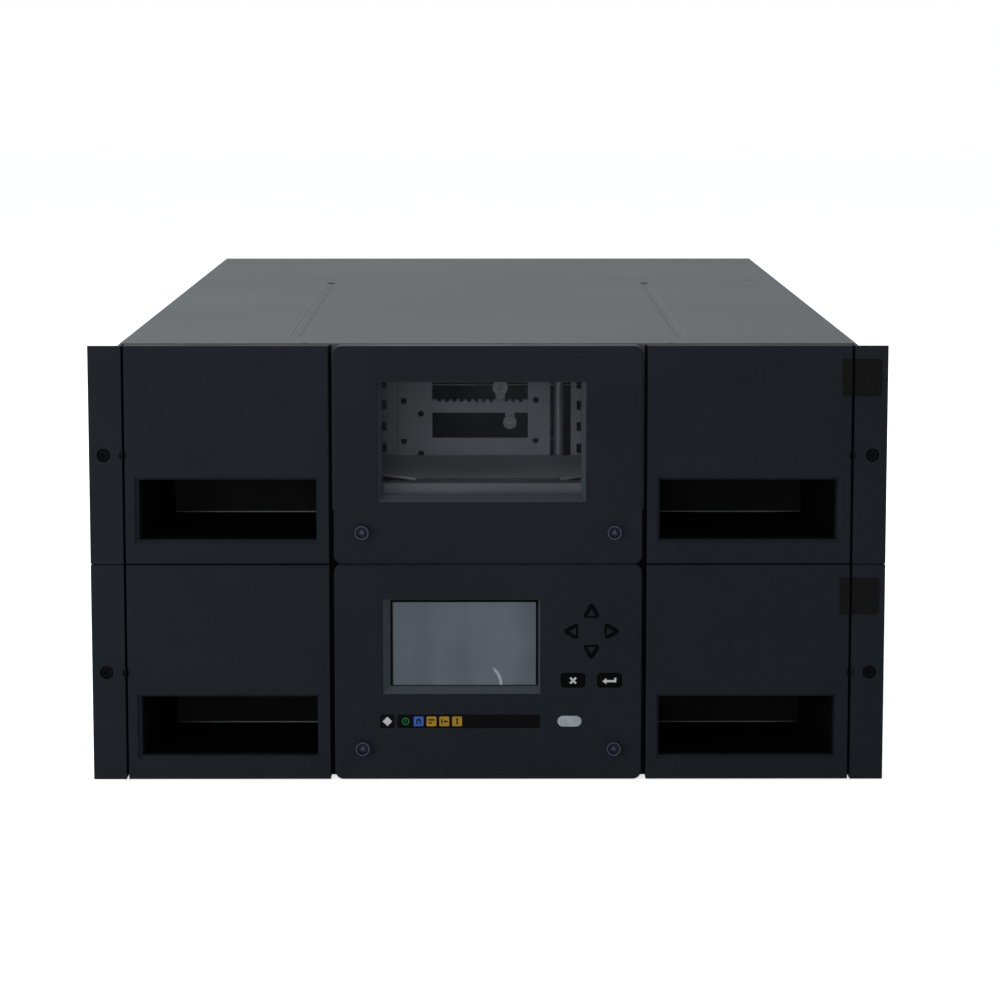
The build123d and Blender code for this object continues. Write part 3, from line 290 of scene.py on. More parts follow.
def painted_sheet(name, tone, light, rough=0.6, gloss=0.03, beads=False, front=None):
    """Sheet metal with satin paint and a very fine orange peel.

    Beads paints shade along one side of the cover's two beads and a highlight along the other,
    and paints shade into the slots behind them. Front is a painted shade on the edges that lie
    just behind the moulded fronts, outside the window.
    """
    f = Finish(name)
    cloud = f.noise(210, 2)
    peel = f.noise(0.9, 2)
    mark = f.noise(26, 4, (1.0, 0.3, 1.0))
    base = f.blend(tone, light, 0.7 * cloud.ramp(0.25, 0.75) + 0.3 * mark.ramp(0.35, 0.7))
    x, y, z = f.along()
    # Painted shade along the inner side of each bead and a painted highlight along its outer side.
    if beads:
        inside = (y > BEAD_START) * (y < BEAD_END)
        off = x.size() - BEAD_X
        line, fade = 0.3 * MM, 1.1 * MM
        dust_and_shade = inside * (off + BEAD_HALF).size().ramp(line, fade, 0.45, 0.0)
        painted_highlight = inside * (off - BEAD_HALF).size().ramp(line, fade, 0.3, 0.0)
        base = f.blend(f.blend(base, colour(40, 43, 45), dust_and_shade), colour(150, 154, 156), painted_highlight)
        # Painted shade: the slot walls below the cover top, and the cover's underside behind the beads, are
        # near black.
        painted_slot_shade = (y > SLOTS_START) * (y < SLOTS_END) * (x.size() < SLOTS_REACH)
        base = f.blend(base, colour(20, 21, 22), painted_slot_shade * (z < COVER_TOP - SLOT_DEPTH))
    # Painted shade: the sheet edges just behind the moulded fronts are near black, except where the window
    # shows them.
    if front:
        in_window = (x.size() < WINDOW_HALF) * (z > WINDOW_FOOT)
        base = f.blend(base, front, (y < FRONT_Y + PAINTED_SHADE_BEHIND_FRONT) * (1 - in_window))
    return f.surface(
        base_color=base,
        roughness=rough + 0.03 * mark - 0.03 * peel,
        specular_ior_level=gloss,
        normal=f.bump(peel, 0.012, 0.4),
    )


def plated_sheet(name, tone, light, rough=0.36):
    """Zinc plated sheet steel: soft spangle and rolling lines."""
    f = Finish(name)
    spangle = f.grain(5)
    rolled = f.noise(1.2, 2, (1.0, 0.06, 1.0))
    return f.surface(
        base_color=f.blend(tone, light, 0.6 * spangle.ramp(0.15, 0.75) + 0.4 * rolled),
        metallic=0.85,
        roughness=rough + 0.12 * rolled - 0.06 * spangle,
        normal=f.bump(rolled, 0.008, 0.4),
    )


def anodised(name, tone, light, rough=0.5, painted_front_shade=None):
    """Grey anodised metal of the robot's frame, brushed upwards.

    The front shade is a painted shade on a piece's front face: its tone, and the depth where it ends.
    """
    f = Finish(name)
    brushed = f.noise(0.8, 3, (1.0, 1.0, 0.08))
    cloud = f.noise(30, 2)
    base = f.blend(tone, light, (brushed * 0.5 + cloud * 0.5).ramp(0.3, 0.7))
    # Painted shade on the front face, up to the given depth.
    if painted_front_shade:
        shade, end = painted_front_shade
        _, depth, _ = f.along()
        base = f.blend(base, shade, depth < end)
    return f.surface(
        base_color=base,
        metallic=0.1,
        roughness=rough + 0.1 * brushed,
        specular_ior_level=0.2,
        normal=f.bump(brushed, 0.01, 0.4),
    )


def turned(name, tone, light, rough=0.3, metal=0.9, gloss=0.5):
    """Turned or ground metal with fine lines across."""
    f = Finish(name)
    lines = f.noise(0.25, 2, (1.0, 0.2, 1.0))
    return f.surface(
        base_color=f.blend(tone, light, lines.ramp(0.3, 0.7)),
        metallic=metal,
        roughness=rough + 0.1 * lines,
        specular_ior_level=gloss,
        normal=f.bump(lines, 0.006, 0.5),
    )


def clear_pane(name):
    """A clear pane with a trace of haze, thin enough to see the robot through."""
    f = Finish(name)
    smear = f.noise(45, 4, (1.0, 1.0, 0.6))
    return f.surface(
        base_color=colour(58, 63, 68),
        roughness=0.08 + 0.1 * smear.ramp(0.45, 0.75),
        specular_ior_level=0.1,
        alpha=0.05 + 0.05 * smear.ramp(0.35, 0.75),
    )


def unlit_screen(name, corner):
    """A switched-off liquid crystal display, with a painted reflection: a pale curved streak over it from
    its lower edge.
    """
    f = Finish(name)
    x, _, z = f.along()
    band = f.noise(22, 1, (1.0, 1.0, 0.08))
    cloud = f.noise(26, 2)
    tone = f.blend(colour(68, 75, 82), colour(79, 86, 93), (band * 0.6 + cloud * 0.4).ramp(0.35, 0.65))
    # Painted reflection: a pale arc rising from the screen's lower edge.
    radius, from_left, from_foot = 13 * MM, 55.8 * MM, 1.9 * MM
    line, fade, foot_fade = 0.3 * MM, 1.3 * MM, 0.5 * MM
    across = x - (corner[0] + from_left)
    up = z - (corner[1] + from_foot)
    off = ((across * across + up * up) ** 0.5 - radius).size()
    painted_reflection = off.ramp(line, fade, 1.0, 0.0) * across.ramp(0.6 * radius, 0.72 * radius)
    painted_reflection = painted_reflection * up.ramp(-foot_fade, 0.0)
    return f.surface(
        base_color=f.blend(tone, colour(136, 142, 148), painted_reflection),
        roughness=0.3 + 0.1 * cloud,
        specular_ior_level=0.12,
        coat_weight=0.04,
        coat_roughness=0.05,
    )


def plain_gloss(name, tone, rough, gloss=0.12):
    """A smooth surface with the faintest unevenness."""
    f = Finish(name)
    cloud = f.noise(6, 2)
    lighter = tuple(min(1.0, c * 1.2 + 0.0006) for c in tone)
    return f.surface(
        base_color=f.blend(tone, lighter, cloud.ramp(0.3, 0.7)),
        roughness=rough + 0.08 * cloud,
        specular_ior_level=gloss,
    )


def rubber(name):
    """Ribbed rubber of the feed rollers."""
    f = Finish(name)
    _, _, z = f.along()
    rib_pitch = 1.2 * MM
    ribs = (z * (2 * math.pi / rib_pitch)).wave()
    dust_and_shade = f.noise(2.5, 3)
    return f.surface(
        base_color=f.blend(colour(24, 24, 25), colour(44, 44, 46), dust_and_shade.ramp(0.4, 0.8)),
        roughness=0.72 + 0.1 * dust_and_shade,
        specular_ior_level=0.15,
        normal=f.bump(ribs, 0.15, 0.8),
    )


def circuit_board(name):
    """A green circuit board with faint tracks."""
    f = Finish(name)
    x, _, z = f.along()
    turns_across, turns_up = 2600, 1900
    tracks = ((x * turns_across).wave() * (z * turns_up).wave()).ramp(0.2, 0.5)
    return f.surface(
        base_color=f.blend(colour(18, 62, 38), colour(38, 92, 58), tracks),
        roughness=0.4 + 0.1 * f.noise(5),
        specular_ior_level=0.3,
    )


def floor_finish(name, tone):
    """A plain pale floor, seen as white; the library's shadow still darkens it."""
    f = Finish(name)
    camera, glossy, transmission = f.seen_by()
    seen = (camera + glossy + transmission).ramp(0.0, 1.0)
    glow = 0.72
    matt = f.node("ShaderNodeBsdfDiffuse", None, {"Color": tone})
    faint = f.node("ShaderNodeBsdfDiffuse", None, {"Color": colour(250, 250, 250)})
    white = f.node("ShaderNodeEmission", None, {"Color": (1.0, 1.0, 1.0), "Strength": glow})
    lit = f.node("ShaderNodeAddShader", None, {0: faint.outputs[0], 1: white.outputs[0]})
    mixed = f.node("ShaderNodeMixShader", None, {0: seen, 1: matt.outputs[0], 2: lit.outputs[0]})
    f.node("ShaderNodeOutputMaterial", None, {"Surface": mixed.outputs[0]})
    return f.material


# Mesh helpers

def new_piece(name, bm, body, material):
    """A bmesh as a named piece on a body, with its material."""
    bmesh.ops.recalc_face_normals(bm, faces=bm.faces)
    mesh = bpy.data.meshes.new(name)
    bm.to_mesh(mesh)
    bm.free()
    piece = bpy.data.objects.new(name, mesh)
    bpy.context.scene.collection.objects.link(piece)
    mesh.materials.append(material)
    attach(piece, body)
    return piece


def bevel(piece, width, segments=2):
    """Rounds the sharp edges of a piece by a width in millimetres."""
    rounding = piece.modifiers.new("edges", "BEVEL")
    rounding.width = width * MM
    rounding.segments = segments
    rounding.limit_method = "ANGLE"
    rounding.angle_limit = EDGE_ANGLE
    rounding.use_clamp_overlap = True
    rounding.harden_normals = False


def front_plate(bm, outline, front, back):
    """A plate facing the front: outline points are (x, z) in metres, front and back are depths."""
    near = [bm.verts.new((x, front, z)) for x, z in outline]
    far = [bm.verts.new((x, back, z)) for x, z in outline]
    bm.faces.new(near)
    bm.faces.new(list(reversed(far)))
    join_loops(bm, (near, far))


def framed_plate(bm, outer, inner, front, back):
    """A plate with a hole of as many points as its outline, facing the front."""
    loops = [
        [bm.verts.new((x, depth, z)) for x, z in outline]
        for outline, depth in ((outer, front), (inner, front), (inner, back), (outer, back))
    ]
    join_loops(bm, loops, closed=True)


def join_loops(bm, loops, closed=False):
    """Faces from each loop of points to the next; closed joins the last one to the first."""
    count = len(loops[0])
    pairs = list(zip(loops, loops[1:]))
    if closed:
        pairs.append((loops[-1], loops[0]))
    for near, far in pairs:
        for i in range(count):
            j = (i + 1) % count
            bm.faces.new((near[i], far[i], far[j], near[j]))


def turned_shape(bm, rings, centre, steps=24, closed=False):
    """A shape round the Y direction from rings of (radius, depth, flats), sizes in metres."""
    loops = []
    for radius, depth, flats in rings:
        loop = []
        for n in range(steps):
            angle = 2 * math.pi * n / steps
            reach = radius
            if flats:
                part = 2 * math.pi / flats
                reach = radius * math.cos(part / 2) / math.cos(angle % part - part / 2)
            place = (centre[0] + reach * math.cos(angle), depth, centre[1] + reach * math.sin(angle))
            loop.append(bm.verts.new(place))
        loops.append(loop)
    join_loops(bm, loops, closed)
    if not closed:
        bm.faces.new(loops[0])
        bm.faces.new(list(reversed(loops[-1])))


def rectangle(left, right, foot, top):
    """The corners of an upright rectangle, from its lower left round to its upper left."""
    return [(left, foot), (right, foot), (right, top), (left, top)]


def polygon(sides, radius, turn, centre):
    """The corners of a regular polygon, radius in metres, turn in degrees."""
    return [
        (
            centre[0] + radius * math.cos(math.radians(turn) + 2 * math.pi * n / sides),
            centre[1] + radius * math.sin(math.radians(turn) + 2 * math.pi * n / sides),
        )
        for n in range(sides)
    ]


def rounded_box(width, height, radius, centre, steps=5):
    """The outline of a rectangle with rounded corners."""
    points = []
    for corner, (sx, sz) in enumerate(((1, 1), (-1, 1), (-1, -1), (1, -1))):
        middle = (centre[0] + sx * (width / 2 - radius), centre[1] + sz * (height / 2 - radius))
        for step in range(steps + 1):
            angle = math.radians(90 * corner + 90 * step / steps)
            points.append((middle[0] + radius * math.cos(angle), middle[1] + radius * math.sin(angle)))
    return points


def shift(outline, dx, dz):
    """The same outline moved across the front."""
    return [(x + dx, z + dz) for x, z in outline]


def middle_of(node):
    """The middle of a CAD node's box."""
    low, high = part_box(node)
    return (Vector(low) + Vector(high)) / 2


def solids_of(node):
    """The boxes of the separate solids in a CAD node, from left to right and then upwards."""
    weld = 0.001 * MM
    bm = bmesh.new()
    bm.from_mesh(frame["nodes"][node].data)
    bmesh.ops.remove_doubles(bm, verts=bm.verts, dist=weld)
    for vert in bm.verts:
        vert.tag = False
    boxes = []
    for start in bm.verts:
        if start.tag:
            continue
        start.tag = True
        found = [start]
        for vert in found:
            for edge in vert.link_edges:
                other = edge.other_vert(vert)
                if not other.tag:
                    other.tag = True
                    found.append(other)
        corners = [Vector([pick(vert.co[i] for vert in found) for i in range(3)]) for pick in (min, max)]
        boxes.append(corners)
    bm.free()
    return sorted(boxes, key=lambda box: (round(box[0].x, 4), box[0].z))


def dress(node, material, edge=0.0, segments=2):
    """Gives a CAD node its finish, and rounds its sharp edges."""
    piece = frame["nodes"][node]
    piece.data.materials.clear()
    piece.data.materials.append(material)
    dressed.add(node)
    if edge:
        bevel(piece, edge, segments)


# What a user may change

class TapeLibrarySizes(bpy.types.PropertyGroup):
    """Sizes of the small parts that the frame doesn't hold."""

    edge_rounding: bpy.props.FloatProperty(
        name="Edge rounding", description="Rounding of the moulded fronts' edges", unit="LENGTH",
        default=0.5 * MM)
    sheet_rounding: bpy.props.FloatProperty(
        name="Sheet rounding", description="Rounding of the top cover's edges", unit="LENGTH",
        default=0.3 * MM)
    mark_height: bpy.props.FloatProperty(
        name="Mark height", description="How far the marks stand off the keys and lights", unit="LENGTH",
        default=0.15 * MM)


class TapeLibraryColours(bpy.types.PropertyGroup):
    """Colours of the main finishes."""

    panel: bpy.props.FloatVectorProperty(
        name="Panel", description="Moulded fronts", subtype="COLOR", size=3, default=colour(21, 25, 29))
    panel_light: bpy.props.FloatVectorProperty(
        name="Panel light", description="Lighter clouds of the fronts", subtype="COLOR", size=3,
        default=colour(27, 31, 36))
    cover: bpy.props.FloatVectorProperty(
        name="Cover", description="Painted top cover", subtype="COLOR", size=3, default=colour(84, 89, 92))
    cover_light: bpy.props.FloatVectorProperty(
        name="Cover light", description="Lighter clouds of the cover", subtype="COLOR", size=3,
        default=colour(90, 95, 98))
    robot: bpy.props.FloatVectorProperty(
        name="Robot", description="Anodised robot parts", subtype="COLOR", size=3,
        default=colour(114, 120, 126))
    robot_light: bpy.props.FloatVectorProperty(
        name="Robot light", description="Lighter robot parts", subtype="COLOR", size=3,
        default=colour(128, 134, 140))


def settings():
    """The user's sizes and colours."""
    scene = bpy.context.scene
    return scene.tape_library_sizes, scene.tape_library_colours


class Piece(bpy.types.Operator):
    """A step that adds to the library's looks"""

    bl_options = {"REGISTER", "UNDO"}


LAMPS = (
    # name, place, target, size across, watts
    ("key_light", (-1.3, -1.45, 0.22), (-0.05, -0.43, 0.1), 0.9, 15),
    ("front_light", (-0.25, -2.35, 0.5), (0.0, -0.3, 0.16), 1.0, 11),
    ("fill_light", (1.3, -0.6, 1.5), (0.15, -0.1, 0.26), 1.2, 5),
    ("top_light", (-0.8, -0.75, 1.9), (-0.1, -0.1, 0.26), 1.4, 9),
    ("back_light", (-0.5, 1.5, 2.2), (0.0, 0.43, 0.1), 1.6, 26),
)


class TAPE_OT_stage(Piece):
    """Sets the camera, the floor and the soft light"""

    bl_idname = "tape.stage"
    bl_label = "Stage"

    def execute(self, context):
        scene = context.scene
        scene.view_settings.view_transform = "Standard"
        data = bpy.data.cameras.new("camera")
        camera = bpy.data.objects.new("camera", data)
        scene.collection.objects.link(camera)
        scene.camera = camera
        distance, above_top = 2.0, 0.175
        aim_x, aim_z = 0.0072, 0.1728
        front_width = cad_bounds[1][0] - cad_bounds[0][0]
        photo_front_width = 804.0
        photo_size = 1000.0
        data.sensor_width = 36.0
        data.lens = photo_front_width / photo_size * data.sensor_width * distance / front_width
        camera.location = (0.0, FRONT_Y - distance, cad_bounds[1][2] + above_top)
        target = Vector((aim_x, FRONT_Y, aim_z))
        camera.rotation_euler = (target - camera.location).to_track_quat("-Z", "Y").to_euler()
        data.clip_end = 50
        self.floor(scene)
        for lamp in LAMPS:
            self.light(scene, *lamp)
        self.world(scene)
        return {"FINISHED"}

    def floor(self, scene):
        """A wide floor just under the library."""
        half_width, gap = 12, 0.5 * MM
        bm = bmesh.new()
        bmesh.ops.create_grid(bm, x_segments=1, y_segments=1, size=half_width)
        mesh = bpy.data.meshes.new("floor")
        bm.to_mesh(mesh)
        bm.free()
        floor = bpy.data.objects.new("floor", mesh)
        scene.collection.objects.link(floor)
        floor.location.z = cad_bounds[0][2] - gap
        mesh.materials.append(floor_finish("floor_white", colour(225, 226, 228)))

    def light(self, scene, name, place, target, size, watts):
        """A round soft lamp that faces its target and that the camera doesn't see."""
        data = bpy.data.lights.new(name, "AREA")
        data.shape = "DISK"
        data.size = size
        data.energy = watts
        lamp = bpy.data.objects.new(name, data)
        lamp.location = place
        lamp.visible_camera = False
        lamp.rotation_euler = (Vector(target) - Vector(place)).to_track_quat("-Z", "Y").to_euler()
        scene.collection.objects.link(lamp)

    def world(self, scene):
        """White to the camera, in gloss and through glass, and a soft pale light for the rest."""
        world = bpy.data.worlds.new("studio")
        scene.world = world
        studio = Nodes(world)
        camera, glossy, transmission = studio.seen_by()
        seen = camera.larger(transmission).larger(glossy)
        pale, strength = (0.9, 0.95, 1.0), 0.32
        soft = studio.node("ShaderNodeBackground", None, {"Color": pale, "Strength": strength})
        white = studio.node("ShaderNodeBackground", None, {"Color": (1.0, 1.0, 1.0), "Strength": 1.0})
        mix = studio.node("ShaderNodeMixShader", None, {0: seen, 1: soft.outputs[0], 2: white.outputs[0]})
        studio.node("ShaderNodeOutputWorld", None, {"Surface": mix.outputs[0]})


class TAPE_OT_fronts(Piece):
    """Finishes the moulded fronts and the ears, and adds the plates and strips at their seams"""

    bl_idname = "tape.fronts"
    bl_label = "Fronts"

    def execute(self, context):
        sizes, colours = settings()
        edge = sizes.edge_rounding / MM
        tones = tuple(colours.panel), tuple(colours.panel_light)
        # Painted highlight on the bezels' splayed edges, from 0.3 to 0.8 mm behind the front.
        panel = moulded("panel_plastic", *tones, painted_light_by_depth=(colour(54, 59, 64), 0.3, 0.8))
        # Painted shade: the handle pockets go near black from 1.5 to 7 mm behind the front, with a painted
        # highlight along the lower edge of their back walls.
        painted_light_by_depth = moulded("pocket_plastic", *tones, painted_light_by_depth=(colour(3, 3, 4), 1.5, 7), painted_edge_highlight=colour(92, 96, 96))
        for node in frame["nodes"]:
            if node.endswith("_magazine_front"):
                dress(node, painted_light_by_depth, edge)
        for node in ("window_bezel", "control_bezel"):
            dress(node, panel, edge)
        ears = moulded("ear_plastic", *tones, rough=0.45)
        dress("left_rack_ears", ears, edge)
        dress("right_rack_ears", ears, edge)
        self.bare_plates()
        self.joint_strips(ears)
        self.seam_strips(ears)
        return {"FINISHED"}

    def seam_strips(self, material):
        """A strip along each outer seam, on the ears' legs, so that no light comes round the chassis."""
        thickness, behind_ear, clear = 0.8 * MM, 3.1 * MM, 0.05 * MM
        for side, sign in (("left", -1), ("right", 1)):
            foot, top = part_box(f"{side}_rack_ears")
            side_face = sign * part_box("lower_chassis")[1].x
            inner = side_face - sign * thickness
            corners = rectangle(inner, side_face, foot.z, top.z)
            bm = bmesh.new()
            front_plate(bm, corners, FRONT_Y + behind_ear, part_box("lower_chassis")[0].y - clear)
            bevel(new_piece(f"{side}_seam_strip", bm, "library", material), 0.1)

    def joint_strips(self, material):
        """A strip behind each pair of ears, across the joint between the modules, as painted shade that
        darkens the slit between the ears.
        """
        inset, half, thickness = 0.3 * MM, 4.0 * MM, 1.2 * MM
        ear_back = FRONT_Y + EAR_THICKNESS
        for side in ("left", "right"):
            lower, upper = solids_of(f"{side}_rack_ears")
            middle = (lower[1].z + upper[0].z) / 2
            corners = rectangle(lower[0].x + inset, lower[1].x - inset, middle - half, middle + half)
            bm = bmesh.new()
            front_plate(bm, corners, ear_back, ear_back + thickness)
            bevel(new_piece(f"{side}_joint_strip", bm, "library", material), 0.3)

    def bare_plates(self):
        """A black plate across each right-hand seam, in two parts, as its magazine slides out."""
        black = plain_gloss("plate_black", colour(2, 2, 3), 0.35, 0.05)
        reach, overlap, height, below_top = 16.1 * MM, 6.1 * MM, 22.4 * MM, 8.0 * MM
        proud, sunk, corner, small_corner = 0.6 * MM, 0.2 * MM, 2.0 * MM, 0.2 * MM
        for level, ear in zip(("lower", "upper"), solids_of("right_rack_ears")):
            body = f"{level}_right_magazine"
            front_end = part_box(f"{body}_front")[1].x
            low, high = ear
            middle = high.z - below_top - height / 2
            for name, start, end, rides_on in (
                (f"{level}_plate_on_front", front_end - overlap, front_end, body),
                (f"{level}_plate_on_ear", low.x, low.x + reach, "library"),
            ):
                outline = rounded_box(end - start, height, small_corner, ((start + end) / 2, middle), 1)
                if rides_on == "library":
                    outline = self.round_ended(start, end, middle, height, corner)
                bm = bmesh.new()
                front_plate(bm, outline, FRONT_Y - proud, FRONT_Y + sunk)
                bevel(new_piece(name, bm, rides_on, black), 0.15)

    def round_ended(self, start, end, middle, height, corner, steps=5):
        """A rectangle's outline with its two right-hand corners rounded."""
        points = [(start, middle + height / 2), (start, middle - height / 2)]
        for first, side in ((270, -1), (0, 1)):
            for step in range(steps + 1):
                angle = math.radians(first + 90 * step / steps)
                x = end - corner + corner * math.cos(angle)
                points.append((x, middle + side * (height / 2 - corner) + corner * math.sin(angle)))
        return points


class TAPE_OT_fasteners(Piece):
    """Adds the rack screws in the ears, and finishes the captive screws with their rims"""

    bl_idname = "tape.fasteners"
    bl_label = "Fasteners"

    def execute(self, context):
        dark = turned("screw_black", colour(2, 2, 3), colour(5, 5, 6), 0.6, 0.0, 0.04)
        for side, sign in (("left", -1), ("right", 1)):
            for level, (low, high) in zip(("lower", "upper"), solids_of(f"{side}_rack_ears")):
                middle = (low.z + high.z) / 2
                self.rack_screw(f"{level}_{side}_rack_screw", sign * RACK_SPACING / 2, middle, dark)
        body = turned("screw_blue", colour(10, 12, 22), colour(18, 21, 34), 0.5, 0.05, 0.1)
        dress("captive_screws", body, 0.3)
        ring = turned("screw_rim", colour(50, 54, 68), colour(64, 68, 84), 0.5, 0.05, 0.1)
        for number, (low, high) in enumerate(solids_of("captive_screws"), 1):
            self.captive_face(number, low, high, ring)
        return {"FINISHED"}

    def rack_screw(self, name, x, z, material):
        """A socket screw in an ear's hole, held by a bush behind the ear.

        The screw's rings are (radius, depth, flats) and the bush's are (radius, depth), in
        millimetres from the ear's front and from its back.
        """
        ear_front, ear_back = FRONT_Y, FRONT_Y + EAR_THICKNESS
        rings = (
            (1.9, 2.4, 6), (1.9, 1.1, 6), (3.35, 1.1, 0), (3.75, 1.5, 0), (3.75, 3.0, 0), (2.6, 3.0, 0),
            (2.6, 14.0, 0), (2.1, 15.0, 0),
        )
        bm = bmesh.new()
        turned_shape(bm, [(r * MM, ear_front + y * MM, flats) for r, y, flats in rings], (x, z))
        bush = ((2.8, 0.0), (5.9, 0.0), (5.5, 2.6), (2.8, 2.6))
        turned_shape(bm, [(r * MM, ear_back + y * MM, 0) for r, y in bush], (x, z), closed=True)
        new_piece(name, bm, "library", material)

    def captive_face(self, number, low, high, material):
        """The pale rim of a captive screw, and the three-pointed mark in its recess."""
        centre = ((low.x + high.x) / 2, (low.z + high.z) / 2)
        front = low.y
        radius, land, rim_width, proud, sunk = (high.x - low.x) / 2, 0.25 * MM, 0.6 * MM, 0.01 * MM, 0.2 * MM
        outer, inner = radius - land, radius - land - rim_width
        bm = bmesh.new()
        rings = ((inner, -proud), (outer, -proud), (outer, sunk), (inner, sunk))
        turned_shape(bm, [(r, front + y, 0) for r, y in rings], centre, 32, closed=True)
        recess, arm, tip_radius, height, stagger = 1.8 * MM, 0.7 * MM, 1.15 * MM, 0.4 * MM, 0.0001 * MM
        floor = front + recess
        for turn in (90, 210, 330):
            angle = math.radians(turn)
            middle = (centre[0] + arm * math.cos(angle), centre[1] + arm * math.sin(angle))
            tip = polygon(3, tip_radius, turn, middle)
            front_plate(bm, tip, floor - height - turn * stagger, floor + sunk)
        new_piece(f"captive_screw_rim_{number}", bm, "library", material)


class TAPE_OT_covers(Piece):
    """Finishes the covers, the chassis and the decks"""

    bl_idname = "tape.covers"
    bl_label = "Covers and chassis"

    def execute(self, context):
        sizes, colours = settings()
        sheet = sizes.sheet_rounding / MM
        cover = painted_sheet("cover_paint", tuple(colours.cover), tuple(colours.cover_light), beads=True)
        dress("top_cover", cover, sheet)
        # The front tone is painted shade on the chassis edges just behind the moulded fronts.
        side = painted_sheet("side_paint", colour(80, 84, 87), colour(88, 92, 95), front=colour(14, 15, 17))
        for node in ("lower_chassis", "upper_chassis", "bottom_cover"):
            dress(node, side)
        inner = plated_sheet("deck_zinc", colour(90, 93, 96), colour(112, 115, 118))
        dress("magazine_decks", inner)
        return {"FINISHED"}


class TAPE_OT_window(Piece):
    """Finishes the pane and the robot behind it"""

    bl_idname = "tape.window"
    bl_label = "Window and robot"

    def execute(self, context):
        _, colours = settings()
        dress("window_pane", clear_pane("window_clear"))
        robot = anodised("robot_metal", tuple(colours.robot), tuple(colours.robot_light))
        for node in ("robot_carriage", "turntable", "left_column", "right_column", "outer_column",
                     "left_comb", "mast_ties", "picker_tray"):
            dress(node, robot, 0.25)
        # The deck's tone is lighter than the robot's as painted light on its top, and its front face keeps a
        # painted shade.
        front_shade_depth = 0.5 * MM
        painted_front_shade = (colour(52, 55, 58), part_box("picker_deck")[0].y + front_shade_depth)
        deck = anodised("deck_metal", colour(166, 172, 178), colour(178, 184, 190), 0.4, painted_front_shade)
        dress("picker_deck", deck, 0.25)
        pulley = turned("pulley_metal", colour(88, 93, 99), colour(104, 109, 116), 0.4, 0.2)
        dress("upper_pulley", pulley, 0.2)
        dress("lower_pulley", pulley, 0.2)
        steel = turned("rod_steel", colour(104, 108, 114), colour(128, 132, 138), 0.45, 0.3)
        dress("guide_rod", steel)
        dress("cartridge_hook", steel, 0.2)
        dress("aisle_rails", steel, 0.2)
        roller = rubber("roller_rubber")
        dress("left_feed_roller", roller)
        dress("right_feed_roller", roller)
        return {"FINISHED"}


class TAPE_OT_magazines(Piece):
    """Finishes the magazine frames and the cartridges"""

    bl_idname = "tape.magazines"
    bl_label = "Magazines"

    def execute(self, context):
        frame_plastic = moulded("magazine_plastic", colour(64, 67, 71), colour(72, 75, 79), rough=0.55)
        shell = moulded("cartridge_shell", colour(30, 32, 35), colour(38, 40, 44), rough=0.5, texture=0.5)
        for node in frame["nodes"]:
            if node.endswith("_magazine_frame"):
                dress(node, frame_plastic)
            if node.endswith("_cartridges"):
                dress(node, shell)
        return {"FINISHED"}


